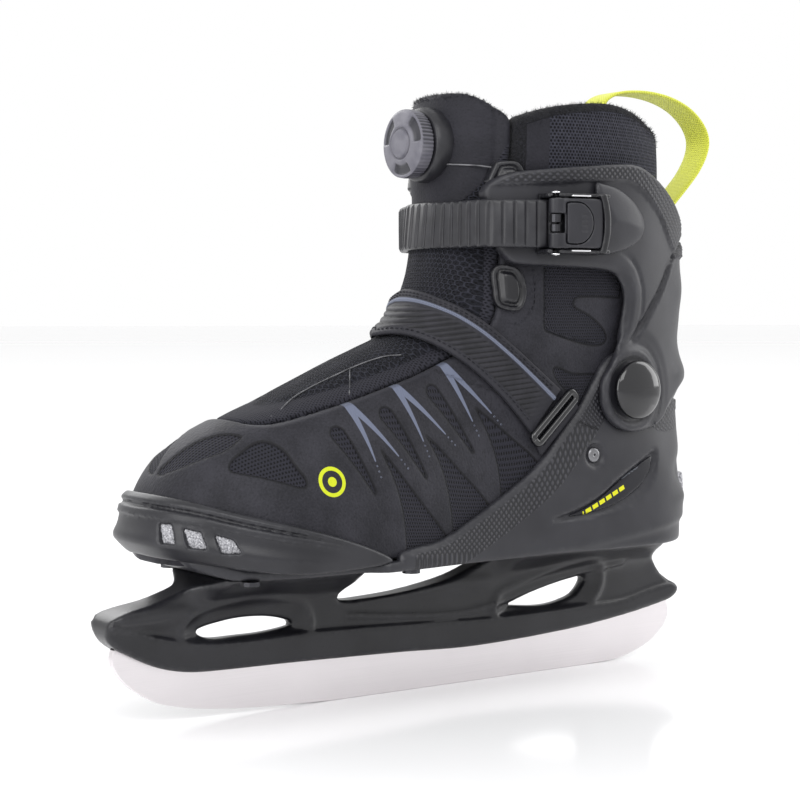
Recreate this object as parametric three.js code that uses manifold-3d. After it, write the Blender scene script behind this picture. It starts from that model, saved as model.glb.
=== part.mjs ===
// Left ice skate of the soft-boot recreational kind: stainless runner in a moulded holder,
// hard heel shell, hinged cuff with a ratchet buckle, instep strap and a dial lacing system.
// Millimetres. +X points to the toe, +Y to the outer side, +Z up. The origin is the middle of
// the runner's flat edge, so the ice is the plane z = 0.
import * as THREE from 'three';
import { mergeVertices } from 'three/addons/utils/BufferGeometryUtils.js';
import Module from 'manifold-3d';

const wasm = await Module();
wasm.setup();

// ---- driving dimensions ----
const GAP = 0.3; // clearance between pieces that touch
const SOLE_Z = 66.6; // the foot form's flat base
const PLATE_Z = 61.5; // underside of the shell's sole plate
const PLATE_TOP = 66.2;
const TOE_X = 136;
const HEEL_X = -143;
const BALL_X = 72; // the toe cap starts to round off here
const SEAT_X = -108; // the heel starts to round off here
const TOP_Z = 270; // top of the tongue
const COLLAR_Z = 266; // top of the padded collar
const PIVOT = { x: -91, z: 135.5 }; // ankle pivot of the cuff
const PIVOT_DEG = { lower: 27, upper: 34 }; // the flex panel's two edges, seen from the pivot

// Every layer of the boot is the foot form grown by an offset.
const LAYER = {
  cavity: -4,
  sole: -1,
  upper: 1.5,
  laceCentre: 2.4,
  laceUnder: 2.2,
  shellIn: 2,
  shellOut: 5.5,
  strapIn: 3.7,
  strapOut: 5.8,
  cuffIn: 6,
  cuffOut: 9.5,
};
const BLADE_HALF = 1.75; // half the runner's thickness
const BOLT_R = 3;
const DIAL = { z: 246.5, base: 17, knob: 15.5 };
const anchor = { x: -36, z: 210 }; // screw that holds the ratchet strap to the inner side
const STRAP_Z = { low: 199.3, high: 220.7 }; // ratchet strap
const LOOP = { half: 8, thick: 1.6 }; // heel pull loop webbing

// ---- foot form ----
// A smooth curve through a few (position, value) points.
function profile(points) {
  const slopes = points.slice(1).map((p, i) => (p[1] - points[i][1]) / (p[0] - points[i][0]));
  const tangent = i => {
    if (i === 0) return slopes[0];
    if (i === slopes.length) return slopes[i - 1];
    return (slopes[i - 1] + slopes[i]) / 2;
  };
  return s => {
    if (s <= points[0][0]) return points[0][1];
    let i = points.findIndex(p => p[0] > s) - 1;
    if (i < 0) return points[points.length - 1][1];
    const [a, b] = [points[i], points[i + 1]];
    const step = b[0] - a[0];
    const u = (s - a[0]) / step;
    const bend = step * u * (1 - u) * ((1 - u) * tangent(i) - u * tangent(i + 1));
    return a[1] * (1 + 2 * u) * (1 - u) ** 2 + b[1] * u * u * (3 - 2 * u) + bend;
  };
}

const footHalf = profile([[-143, 35], [-108, 35], [-60, 34.5], [0, 38], [40, 44], [72, 46.5], [136, 46.5]]);
const footLean = profile([[-143, 0], [-20, 0], [60, -3], [136, -8]]);
const footTop = profile([
  [-143, 118], [-100, 138], [-50, 154], [-10, 160], [14, 159],
  [34, 152], [60, 141], [85, 130], [108, 120], [136, 113],
]);
const shinFront = profile([
  [66, -25], [100, -4], [130, 8], [150, 10], [170, 5], [190, -3], [220, -7], [250, -8], [268, -10],
]);
const calfBack = profile([
  [66, -141], [100, -144], [130, -142], [150, -139], [190, -137], [220, -136], [250, -134], [268, -131],
]);
const legHalf = profile([[66, 33], [100, 35.5], [130, 36.5], [190, 38], [220, 40], [250, 42], [268, 42]]);

const clamp01 = t => Math.min(1, Math.max(0, t));
const smooth = t => t * t * (3 - 2 * t);
const round = (t, power) => Math.max(1 - clamp01(t) ** power, 1e-6) ** (1 / power);

// Signed distance, near enough, from a point to the foot part of the form.
function footField(x, y, z, grow) {
  const toe = (x - BALL_X) / (TOE_X + grow - BALL_X);
  const tip = (x - 100) / (TOE_X + grow - 100);
  const heel = (SEAT_X - x) / (SEAT_X - HEEL_X + grow);
  const wide = (footHalf(x) + grow) * round(toe, 2.3) * round(heel, 2);
  const high = (footTop(x) + grow - SOLE_Z) * round(tip, 2.4) * round(heel, 3);
  const [side, rise] = [Math.abs(y - footLean(x)), Math.max(z - SOLE_Z, 0)];
  const ratio = ((side / wide) ** 2.3 + (rise / high) ** 2.3) ** (1 / 2.3);
  const inside = Math.hypot(side, rise) * (1 - 1 / Math.max(ratio, 1e-6));
  return Math.max(inside, x - TOE_X - grow, HEEL_X - grow - x);
}

function legField(x, y, z, grow) {
  const [front, back] = [shinFront(z), calfBack(z)];
  const middle = (front + back) / 2;
  const long = (front - back) / 2 + grow;
  const wide = legHalf(z) + grow;
  const ratio = ((Math.abs(x - middle) / long) ** 2.25 + (Math.abs(y) / wide) ** 2.25) ** (1 / 2.25);
  return Math.hypot(x - middle, y) * (1 - 1 / Math.max(ratio, 1e-6));
}

// Foot and leg, joined with a soft fillet over the instep.
function form(x, y, z, grow) {
  const [a, b] = [footField(x, y, z, grow), legField(x, y, z, grow)];
  const fillet = 14;
  const t = clamp01(0.5 + (0.5 * (b - a)) / fillet);
  return b * (1 - t) + a * t - fillet * t * (1 - t);
}

// The distance from start along a direction at which the form, grown, is left.
function reach(start, direction, grow) {
  let [near, far] = [0, 220];
  for (let i = 0; i < 26; i++) {
    const mid = (near + far) / 2;
    const p = start.map((v, k) => v + direction[k] * mid);
    const size = typeof grow === 'function' ? grow(p[0], p[1]) : grow;
    if (form(...p, size) < 0) near = mid;
    else far = mid;
  }
  return near;
}

// Points on the grown form: above (x, y) on the instep, or beside (x, z) on one flank.
const above = (x, y, grow) => new THREE.Vector3(x, y, 75 + reach([x, y, 75], [0, 0, 1], grow));
const beside = (x, z, grow, side) => new THREE.Vector3(x, side * reach([x, 0, z], [0, side, 0], grow), z);

// ---- solids ----
function solid(geometry) {
  geometry.deleteAttribute('normal');
  geometry.deleteAttribute('uv');
  const merged = mergeVertices(geometry, 1e-4);
  const vertProperties = new Float32Array(merged.attributes.position.array);
  const triVerts = new Uint32Array(merged.index.array);
  return new wasm.Manifold(new wasm.Mesh({ numProp: 3, vertProperties, triVerts }));
}

const LEVELS = [61, 66.6, 90, 103, 111, 118, 126, 134, 143, 152, 163, 178, 198, 222, 245, 270];
const SPOKES = 24;
const shells = new Map();

// The grown form as one closed solid, lofted through level sections.
function formSolid(grow, levels = LEVELS) {
  if (shells.has(grow)) return shells.get(grow);
  const vertices = [];
  const faces = [];
  for (const z of levels) {
    const along = clamp01((z - 100) / 65);
    const centre = [-2 - 68 * along, 0, z];
    const [long, wide] = [140 - 72 * along, 42];
    for (let i = 0; i < SPOKES; i++) {
      const turn = (2 * Math.PI * (i + 0.5)) / SPOKES;
      const spoke = new THREE.Vector3(long * Math.cos(turn), wide * Math.sin(turn), 0).normalize();
      const far = reach(centre, spoke.toArray(), grow);
      vertices.push(centre[0] + far * spoke.x, far * spoke.y, z);
    }
  }
  const rows = levels.length;
  for (let r = 0; r < rows - 1; r++) {
    for (let i = 0; i < SPOKES; i++) {
      const [a, b] = [r * SPOKES + i, r * SPOKES + ((i + 1) % SPOKES)];
      faces.push(a, b, b + SPOKES, a, b + SPOKES, a + SPOKES);
    }
  }
  const bottom = vertices.length / 3;
  vertices.push(-2, 0, levels[0], -70, 0, levels[rows - 1]);
  for (let i = 0; i < SPOKES; i++) {
    const next = (i + 1) % SPOKES;
    faces.push(bottom, next, i);
    faces.push(bottom + 1, (rows - 1) * SPOKES + i, (rows - 1) * SPOKES + next);
  }
  const geometry = new THREE.BufferGeometry();
  geometry.setAttribute('position', new THREE.Float32BufferAttribute(vertices, 3));
  geometry.setIndex(faces);
  const made = solid(geometry);
  shells.set(grow, made);
  return made;
}

const layer = (outer, inner) => formSolid(outer).subtract(formSolid(inner));

const shapeOf = points => new THREE.Shape(points.map(p => new THREE.Vector2(p[0], p[1])));

// Points along an arc, between two angles in degrees.
function arc(centre, radius, from, to, count) {
  const points = [];
  for (let i = 0; i <= count; i++) {
    const turn = ((from + ((to - from) * i) / count) * Math.PI) / 180;
    points.push([centre[0] + radius * Math.cos(turn), centre[1] + radius * Math.sin(turn)]);
  }
  return points;
}

// A side outline of (x, z) points, extruded across the boot.
function sideCut(points, low = -80, high = 80) {
  const geometry = new THREE.ExtrudeGeometry(shapeOf(points), { depth: high - low, bevelEnabled: false });
  geometry.rotateX(Math.PI / 2);
  geometry.translate(0, high, 0);
  return solid(geometry);
}

// A plan outline of (x, y) points, extruded upwards.
function planCut(points, low, high) {
  const geometry = new THREE.ExtrudeGeometry(shapeOf(points), { depth: high - low, bevelEnabled: false });
  geometry.translate(0, 0, low);
  return solid(geometry);
}

function box(x, y, z) {
  const geometry = new THREE.BoxGeometry(x[1] - x[0], y[1] - y[0], z[1] - z[0]);
  geometry.translate((x[0] + x[1]) / 2, (y[0] + y[1]) / 2, (z[0] + z[1]) / 2);
  return solid(geometry);
}

// A cylinder from one point to another.
function rod(from, to, radius, sides = 12) {
  const [a, b] = [new THREE.Vector3(...from), new THREE.Vector3(...to)];
  const axis = b.clone().sub(a);
  const geometry = new THREE.CylinderGeometry(radius, radius, axis.length(), sides);
  const turn = new THREE.Quaternion().setFromUnitVectors(new THREE.Vector3(0, 1, 0), axis.normalize());
  geometry.applyQuaternion(turn);
  geometry.translate(...a.add(b).multiplyScalar(0.5).toArray());
  return solid(geometry);
}

// A round cable along points.
function cable(points, radius, steps) {
  const ring = arc([0, 0], radius, 0, 315, 7);
  const extrudePath = new THREE.CatmullRomCurve3(points);
  return solid(new THREE.ExtrudeGeometry(shapeOf(ring), { extrudePath, steps, bevelEnabled: false }));
}

const mirrored = made => made.mirror([0, 1, 0]);
const sides = [['outer', 1], ['inner', -1]];
const onSide = (made, side) => (side > 0 ? made : mirrored(made));

// ---- the assembly ----
const skate = new THREE.Group();

function add(name, made, [color, roughness, metalness]) {
  const { vertProperties, triVerts } = made.getMesh();
  const geometry = new THREE.BufferGeometry();
  geometry.setAttribute('position', new THREE.Float32BufferAttribute(vertProperties, 3));
  geometry.setIndex(Array.from(triVerts));
  geometry.computeVertexNormals();
  const mesh = new THREE.Mesh(geometry, new THREE.MeshStandardMaterial({ color, roughness, metalness }));
  mesh.name = name;
  skate.add(mesh);
}

const STEEL = [0xd9d8d6, 0.3, 1];
const DARK_STEEL = [0x6d6e73, 0.35, 1];
const MOULDED = [0x2b2b30, 0.45, 0];
const SHELL = [0x3a3b40, 0.55, 0];
const FABRIC = [0x26262b, 0.9, 0];
const PLUSH = [0x1c1c20, 1, 0];
const MESH_WHITE = [0xdfe0e2, 0.8, 0];
const GLOSS = [0x0c0c0e, 0.12, 0];
const WEBBING = [0xc9d63a, 0.85, 0];
const KNOB = [0x77757f, 0.5, 0];

// ---- runner and holder ----
const runnerEdge = [
  [153.6, 28.4], [150.1, 21.5], [143, 15], [132.2, 8.8], [118.3, 5.3], [104, 3.3], [90, 2], [70, 0.9],
  [48, 0], [-100, 0], [-121.5, 1], [-140.7, 6.6], [-151, 14], [-154.2, 20.2], [-153.5, 26],
];
const holderFoot = [
  [154.8, 35.2], [147.7, 30.9], [134.3, 24.5], [120.5, 21.2], [105, 20.3], [72.5, 19.8], [13.5, 18.3],
  [-29.2, 16.8], [-87, 19.2], [-123.9, 23.1], [-149.5, 27.5], [-154.6, 29.5],
];
const buried = 6; // depth of runner held in the holder

function addRunner() {
  const top = holderFoot.slice(1, -1).map(([x, z]) => [x, z + buried]).reverse();
  const outline = [...runnerEdge, ...top, [152, 33.5]];
  add('blade_runner', sideCut(outline, -BLADE_HALF, BLADE_HALF), STEEL);
}

const bolts = [[104, 12], [62, 14], [-64, 12], [-112, 11]];

// Half the holder's width at each height: a slim rail that flares out to a pad under the boot.
const flare = half => [
  [15, 5.2], [24, 6], [36, 5], [46, 6.5], [53, 0.34 * half], [57, 0.72 * half], [61.2, half],
];

// A cross-section of (height, half width) pairs, extruded along the skate.
function crossCut(pairs, from, to) {
  const right = pairs.map(([z, y]) => [y, z]);
  const left = pairs.map(([z, y]) => [-y, z]).reverse();
  const section = shapeOf([...right, ...left]);
  const geometry = new THREE.ExtrudeGeometry(section, { depth: to - from, bevelEnabled: false });
  const [ex, ey, ez] = [new THREE.Vector3(1, 0, 0), new THREE.Vector3(0, 1, 0), new THREE.Vector3(0, 0, 1)];
  geometry.applyMatrix4(new THREE.Matrix4().makeBasis(ey, ez, ex));
  geometry.translate(from, 0, 0);
  return solid(geometry);
}

function addHolder() {
  const sideView = sideCut([
    ...holderFoot, [-157.3, 33.1], [-153.5, 36], [-145.6, 42.2], [-139, 49.5], [-135.8, 61.2],
    [-43, 61.2], [-40.1, 58.9], [-30, 54.3], [-13.6, 49.1], [7.7, 45.7], [44, 44.2], [47, 46.3],
    [40, 53.4], [39, 61.2], [111.5, 61.2], [117.1, 58.3], [135.7, 51.8], [152.6, 48.4], [158.4, 44.8],
  ]);
  const pads = crossCut(flare(27), 36, 120).add(crossCut(flare(22), -142, -36));
  const rail = crossCut(flare(10), -170, 170);
  const frontWindow = [[114.6, 36.3], [102.8, 40.6], [84, 41], [69.7, 37.8], [68.7, 35.3], [93.2, 33.6]];
  const rearWindow = [
    [-49, 33.6], [-67.4, 39.1], [-90, 43.4], [-97.8, 43], [-96, 38.5], [-90, 34.4], [-73.4, 31.6],
  ];
  const slotTop = holderFoot.map(([x, z]) => [x, z + buried + GAP]).reverse();
  const slot = sideCut([[160, 10], [-160, 10], ...slotTop], -BLADE_HALF - GAP, BLADE_HALF + GAP);
  let holder = rail.add(pads).intersect(sideView);
  for (const hole of [frontWindow, rearWindow]) holder = holder.subtract(sideCut(hole.reverse()));
  holder = holder.subtract(slot);
  for (const [x, y] of bolts) {
    for (const side of [1, -1]) {
      holder = holder.subtract(rod([x, side * y, 57], [x, side * y, 70], BOLT_R + GAP));
    }
  }
  add('blade_holder', holder, MOULDED);
}

const boltHead = { r: 6, z: 64.2 };

function addBolts() {
  bolts.forEach(([x, y], i) => {
    for (const [name, side] of sides) {
      const shaft = rod([x, side * y, 57.6], [x, side * y, boltHead.z + 1], BOLT_R, 10);
      const head = rod([x, side * y, boltHead.z + GAP], [x, side * y, PLATE_TOP - 0.2], boltHead.r, 10);
      add(`holder_bolt_${i + 1}_${name}`, shaft.add(head), STEEL);
    }
  });
}

// ---- hard shell ----
const wingTop = [
  [44, PLATE_TOP], [38.9, 70], [16.6, 73.4], [-8.8, 84.5], [-36.9, 100.7], [-49.2, 113.7], [-62.7, 126.8],
];
const shellOutline = [
  [124, PLATE_Z], [131, PLATE_TOP], ...wingTop, [-71.4, 140.2], [-76, 149], [-91, 154], [-104, 149],
  [-110, 138], [-114, 127], [-135, 129.5], [-160, 130.5], [-160, PLATE_Z],
];
const badgeOutline = [
  [-47, 77.6], [-60, 81], [-84, 94], [-109.5, 106], [-106.5, 97.5], [-98, 88.5], [-84, 82], [-66, 78.6],
];
const badgePlate = [
  [-52, 78.5], [-60.5, 80.5], [-84.5, 93.2], [-108, 104.3], [-105.7, 98], [-97.5, 89.3], [-83.7, 82.8],
  [-66, 79.4],
];
const wingRivet = { x: -70, z: 106, r: 3.6 };
const pivotPost = { hole: 7, r: 6.6, capIn: 48.6 };
const BADGE_DEPTH = 4.3;
const reflector = { x: -136, low: 82, high: 93, half: 17 };

// A cylinder right across the boot at one place in side view.
const through = ({ x, z }, radius, sides = 12) => rod([x, -80, z], [x, 80, z], radius, sides);

function addShell() {
  const blank = formSolid(LAYER.shellOut).intersect(sideCut(shellOutline));
  const foreSole = box([45.3, 150], [-80, 80], [58, 80]).subtract(formSolid(LAYER.sole));
  const boot = formSolid(LAYER.shellIn).intersect(box([-200, 200], [-80, 80], [PLATE_TOP, 300]));
  let shell = blank.subtract(boot).subtract(foreSole);
  const recess = layer(7, BADGE_DEPTH).intersect(sideCut(badgeOutline));
  const lamp = box([-170, reflector.x], [-reflector.half, reflector.half], [reflector.low, reflector.high]);
  shell = shell.subtract(recess).subtract(layer(7, 4).intersect(lamp));
  shell = shell.subtract(through(wingRivet, wingRivet.r + GAP)).subtract(through(PIVOT, pivotPost.hole, 16));
  for (const [x, y] of bolts) {
    for (const side of [1, -1]) {
      shell = shell.subtract(rod([x, side * y, 50], [x, side * y, 75], BOLT_R + GAP, 10));
      shell = shell.subtract(rod([x, side * y, boltHead.z], [x, side * y, 75], boltHead.r + GAP, 10));
    }
  }
  add('chassis', shell, SHELL);

  const badge = layer(4.9, BADGE_DEPTH + GAP).intersect(sideCut(badgePlate));
  const patch = box([-170, reflector.x - GAP], [-reflector.half + GAP, reflector.half - GAP], [
    reflector.low + GAP, reflector.high - GAP,
  ]);
  add('heel_reflector', layer(LAYER.shellOut, 4.3).intersect(patch), MESH_WHITE);
  for (const [name, side] of sides) {
    const half = box([-200, 200], [0, 80], [0, 300]);
    add(`side_badge_${name}`, onSide(badge.intersect(half), side), GLOSS);
    const rivet = rod([wingRivet.x, 39.6, wingRivet.z], [wingRivet.x, 43.4, wingRivet.z], wingRivet.r);
    add(`wing_rivet_${name}`, onSide(rivet, side), DARK_STEEL);
  }
}

// ---- toe bumper ----
const bumperOutline = [
  [150, 71], [150, 96], [136.8, 96.2], [126.6, 93.8], [115.2, 90], [101.9, 86.6], [86.7, 82.8], [68.9, 77.3],
  [49.9, 70.1], [46, 67.5], [50, 65], [83, 63.4], [100, 64.6], [114, 66.8], [126, 68.8], [140, 70.6],
];
const windowCentres = [[136.4, 12.3, 80.8], [129, 25.4, 79.2], [118.5, 34.8, 76.9]];
const windowSize = { wide: 8.6, high: 8.4 };
const studs = [[106, 35], [30, 41]];
const STUD_LEAN = 3; // the studs follow the forefoot, which lies a little to the inner side

function addBumper() {
  const ring = layer(LAYER.shellOut, LAYER.upper + GAP).intersect(sideCut(bumperOutline));
  const meshBand = sideCut([[142, 70], [142, 88], [126, 87], [108, 83], [108, 71], [126, 71]]);
  const pocket = layer(3.2, 1).intersect(meshBand);
  let bumper = ring.subtract(pocket.intersect(box([100, 150], [4.5, 80], [0, 120])));
  bumper = bumper.subtract(pocket.intersect(box([100, 150], [-80, -16], [0, 120])));
  for (const [, side] of sides) {
    for (const [x, y, z] of windowCentres) {
      const cut = new THREE.BoxGeometry(24, windowSize.wide, windowSize.high);
      cut.rotateZ(Math.atan2(y, x - 100));
      cut.translate(x, y, z);
      const shift = side > 0 ? 0 : -12;
      bumper = bumper.subtract(onSide(solid(cut), side).translate([0, shift, 0]));
    }
  }
  add('toe_bumper', bumper, MOULDED);
  const strip = layer(2.9, LAYER.upper + GAP).intersect(sideCut([
    [142, 70.4], [142, 87.6], [126, 86.6], [108.5, 82.6], [108.5, 71.4], [126, 71.4],
  ]));
  add('bumper_mesh_outer', strip.intersect(box([100, 150], [4.9, 80], [0, 120])), MESH_WHITE);
  add('bumper_mesh_inner', strip.intersect(box([100, 150], [-80, -16.4], [0, 120])), MESH_WHITE);
  studs.forEach(([x, y], i) => {
    for (const [name, side] of sides) {
      const across = side * y - STUD_LEAN;
      const foot = rod([x, across, 59.4], [x, across, PLATE_Z - GAP], 4, 10);
      add(`sole_stud_${i + 1}_${name}`, foot, DARK_STEEL);
    }
  });
}

// ---- soft boot ----
// Lines from the ankle pivot split the boot into the fixed upper, the flex panel and the cuff's collar.
function flexLine(degrees, x) {
  return PIVOT.z + Math.tan((degrees * Math.PI) / 180) * (x - PIVOT.x);
}
const FRONT = 60;
const below = [
  [-200, 40], [-200, PIVOT.z], [PIVOT.x, PIVOT.z], [FRONT, flexLine(PIVOT_DEG.lower, FRONT)], [200, 220],
  [200, 40],
];
const flexWedge = [
  [PIVOT.x + 4, flexLine(PIVOT_DEG.lower, PIVOT.x + 4) + GAP], [FRONT, flexLine(PIVOT_DEG.lower, FRONT) + GAP],
  [FRONT, flexLine(PIVOT_DEG.upper, FRONT) - GAP], [PIVOT.x + 4, flexLine(PIVOT_DEG.upper, PIVOT.x + 4) - GAP],
];
const over = [
  [-200, PIVOT.z + GAP], [PIVOT.x, PIVOT.z + GAP], [FRONT, flexLine(PIVOT_DEG.upper, FRONT)], [FRONT, 300],
  [-200, 300],
];
const throat = [
  [98, -11], [94, -21], [82, -26], [60, -29], [20, -29], [-40, -27], [-40, 27], [20, 27], [60, 27], [82, 22],
  [94, 15], [98, 5],
];
const TONGUE_INSET = 0.6;
const tonguePlan = throat.map(([x, y]) => [
  x - TONGUE_INSET * Math.sign(x - 40), y - TONGUE_INSET * Math.sign(y + 1),
]);
const INSOLE = { low: 69.7, high: 73 };
// 0 on the collar's flanks and 1 at its back, where it lies slimmer and lower.
const slimming = x => smooth(clamp01((-84 - x) / 30));
const collarTop = [
  [-200, 0], [-200, 250], [-134, 254], [-120, 257.5], [-107, 260.5], [-94, 263.5], [-78, COLLAR_Z], [-60, 265],
  [-42, 262], [-20, 255], [-20, 0],
];

function addBoot() {
  const cavity = formSolid(LAYER.cavity).intersect(box([-200, 200], [-80, 80], [69.4, 300]));
  const opening = planCut(throat, 105, 240);
  const aboveSole = box([-200, 200], [-80, 80], [PLATE_TOP + GAP, 300]);
  const skin = formSolid(LAYER.upper).subtract(cavity).intersect(aboveSole);
  add('boot_upper', skin.intersect(sideCut(below)).subtract(opening), FABRIC);
  const insoleBand = box([-200, 200], [-80, 80], [INSOLE.low, INSOLE.high]);
  add('footbed', formSolid(LAYER.cavity - GAP).intersect(insoleBand), FABRIC);
  const tongue = layer(LAYER.upper - 0.9, LAYER.cavity).intersect(planCut(tonguePlan, 105, 240));
  add('tongue_lower', tongue.intersect(sideCut(below)), FABRIC);
  add('flex_panel', layer(1.2, LAYER.cavity).intersect(sideCut(flexWedge)), FABRIC);

  const split = -30;
  const tongueUpper = layer(LAYER.upper, LAYER.cavity - 1).intersect(sideCut(over));
  add('tongue_upper', tongueUpper.intersect(box([split, 100], [-80, 80], [0, TOP_Z])), FABRIC);
  const rear = box([-200, split - GAP], [-80, 80], [0, 300]);
  const bands = [
    formSolid(LAYER.upper).intersect(box([-200, 200], [-80, 80], [0, 212])),
    formSolid(x => LAYER.upper - 2.5 * slimming(x)).intersect(box([-200, 200], [-80, 80], [212, 240])),
    formSolid(x => 4 - 5 * slimming(x)).intersect(box([-200, 200], [-80, 80], [240, 300])),
  ];
  const pad = bands[0].add(bands[1]).add(bands[2]).subtract(formSolid(LAYER.cavity - 3));
  add('collar', pad.intersect(sideCut(over)).intersect(sideCut(collarTop)).intersect(rear), PLUSH);
}

// ---- cuff ----
const bossRadius = 19.5;
const CUFF_INNER_FRONT = -25.5; // the cuff's inner arm stops shorter than the outer one
const cuffOutline = [
  [-13, 226], [-21, 232], [-36, 234.2], [-54, 236], [-77, 238.2], [-88, 238.5], [-105, 233], [-125, 225],
  [-140, 214], [-165, 204], [-165, 137], [-135, 134], ...arc([PIVOT.x, PIVOT.z], bossRadius, 230, 380, 9),
  [-77, 149], [-82, 156], [-87, 172], [-86.5, 182], [-80, 188.7], [-67, 190.7], [-40, 191.8], [-24, 193],
  [-18.5, 200.6],
];

function addCuff() {
  const post = through(PIVOT, pivotPost.hole, 16);
  const anchorHole = rod([anchor.x, -80, anchor.z], [anchor.x, -20, anchor.z], 2.6 + GAP);
  const innerFront = box([CUFF_INNER_FRONT, 0], [-80, 0], [180, 250]);
  let cuff = layer(LAYER.cuffOut, LAYER.cuffIn).intersect(sideCut(cuffOutline));
  for (const cut of [post, anchorHole, innerFront]) cuff = cuff.subtract(cut);
  add('cuff', cuff, SHELL);
  for (const [name, side] of sides) {
    const bolt = rod([PIVOT.x, side * 40, PIVOT.z], [PIVOT.x, side * 47.6, PIVOT.z], pivotPost.r, 16);
    add(`pivot_bolt_${name}`, bolt, STEEL);
    const cap = new THREE.CylinderGeometry(10, 14, 3.4, 20);
    cap.translate(PIVOT.x, pivotPost.capIn + 1.7, PIVOT.z);
    add(`pivot_cap_${name}`, onSide(solid(cap).subtract(formSolid(LAYER.cuffOut + GAP)), side), GLOSS);
  }
}

// ---- instep strap and its ring ----
const strapOutline = [
  [30, 183], [6, 182.4], [-6, 172.5], [-25.6, 156.5], [-53.5, 134.6], [-34.5, 115.2], [-27.8, 124.6], [-18, 136],
  [-5, 148], [6, 157], [16, 163], [32, 163],
];
const ring = { x: -46.3, z: 123.9, face: 45.4, long: 33, wide: 8, bar: 2, depth: 2.2 };
const tabOutline = [[-57, 134], [-36.5, 114.4], [-40.2, 106.8], [-61.5, 127.6]];

function addStrap() {
  add('power_strap', layer(LAYER.strapOut, LAYER.strapIn).intersect(sideCut(strapOutline)), FABRIC);
  const [a, b] = [ring.long / 2, ring.wide / 2];
  const outer = shapeOf([[-a, -b], [a, -b], [a, b], [-a, b]]);
  const inner = [[-a, -b], [a, -b], [a, b], [-a, b]].map(([x, y]) => new THREE.Vector2(
    x - Math.sign(x) * ring.bar, y - Math.sign(y) * ring.bar,
  ));
  outer.holes.push(new THREE.Path(inner.reverse()));
  const frame = new THREE.ExtrudeGeometry(outer, { depth: ring.depth, bevelEnabled: false });
  frame.rotateX(Math.PI / 2);
  frame.rotateY(-(43 * Math.PI) / 180);
  frame.translate(ring.x, ring.face, ring.z);
  add('strap_ring', solid(frame), GLOSS);
  const tab = layer(3, LAYER.upper + GAP).intersect(sideCut(tabOutline, 0, 80));
  add('ring_tab', tab, FABRIC);
}

// ---- ratchet strap and buckle ----
// The strap lies on the tongue in front, then climbs over the cuff's edge to the buckle or the anchor.
const CLIMB = {
  start: 2,
  outer: { height: 12.6, from: -6, over: 8 },
  inner: { height: 10.4, from: -11, over: 12 },
};
const strapRise = (x, y) => {
  const { height, from, over } = y > 0 ? CLIMB.outer : CLIMB.inner;
  return CLIMB.start + (height - CLIMB.start) * smooth(clamp01((from - x) / over));
};
const STRAP_THICK = 3.2;
const ratchet = { outerEnd: -60, innerEnd: -44, pitch: 5, tooth: 1.1 };

// The buckle's own frame sits on the cuff and faces along its surface normal.
const BUCKLE = { x: -46, y: 48.8, z: 210, turn: -12.5 };
const onCuff = made => made.rotate([0, 0, BUCKLE.turn]).translate([BUCKLE.x, BUCKLE.y, BUCKLE.z]);
const buckle = { wall: 11.2, wallOut: 13, leverHalf: 10.9, pinX: 9, pinY: 8.2, pin: 1.2 };
const coilSection = [[1.7, -3.6], [2.5, -3.6], [2.5, -0.6], [1.7, -0.6], [1.7, -3.6]];

// A cylinder round the lever's hinge pin, between two heights in the buckle's frame.
function onHinge(low, high, radius, sides = 16) {
  return rod([buckle.pinX, buckle.pinY, low], [buckle.pinX, buckle.pinY, high], radius, sides);
}

function addRatchet() {
  const levels = [STRAP_Z.low, STRAP_Z.high];
  const rise = formSolid((x, y) => strapRise(x, y) + STRAP_THICK, levels);
  const inner = formSolid(strapRise, [levels[0] - 1, levels[1] + 1]);
  let strap = rise.subtract(inner);
  strap = strap.subtract(box([-250, ratchet.innerEnd], [-80, 0], [0, 300]));
  strap = strap.subtract(box([-250, ratchet.outerEnd], [-1, 80], [0, 300]));
  strap = strap.subtract(box([-250, -70], [-80, 80], [0, 300]));
  const screwHole = rod([anchor.x, -80, anchor.z], [anchor.x, -30, anchor.z], 2.6 + GAP);
  add('ratchet_strap', strap.subtract(screwHole), MOULDED);
  const at = y => [anchor.x, -y, anchor.z];
  add('anchor_screw', rod(at(42.8), at(52.6), 2.6, 10).add(rod(at(52.2), at(54), 5, 10)), STEEL);
}

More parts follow.
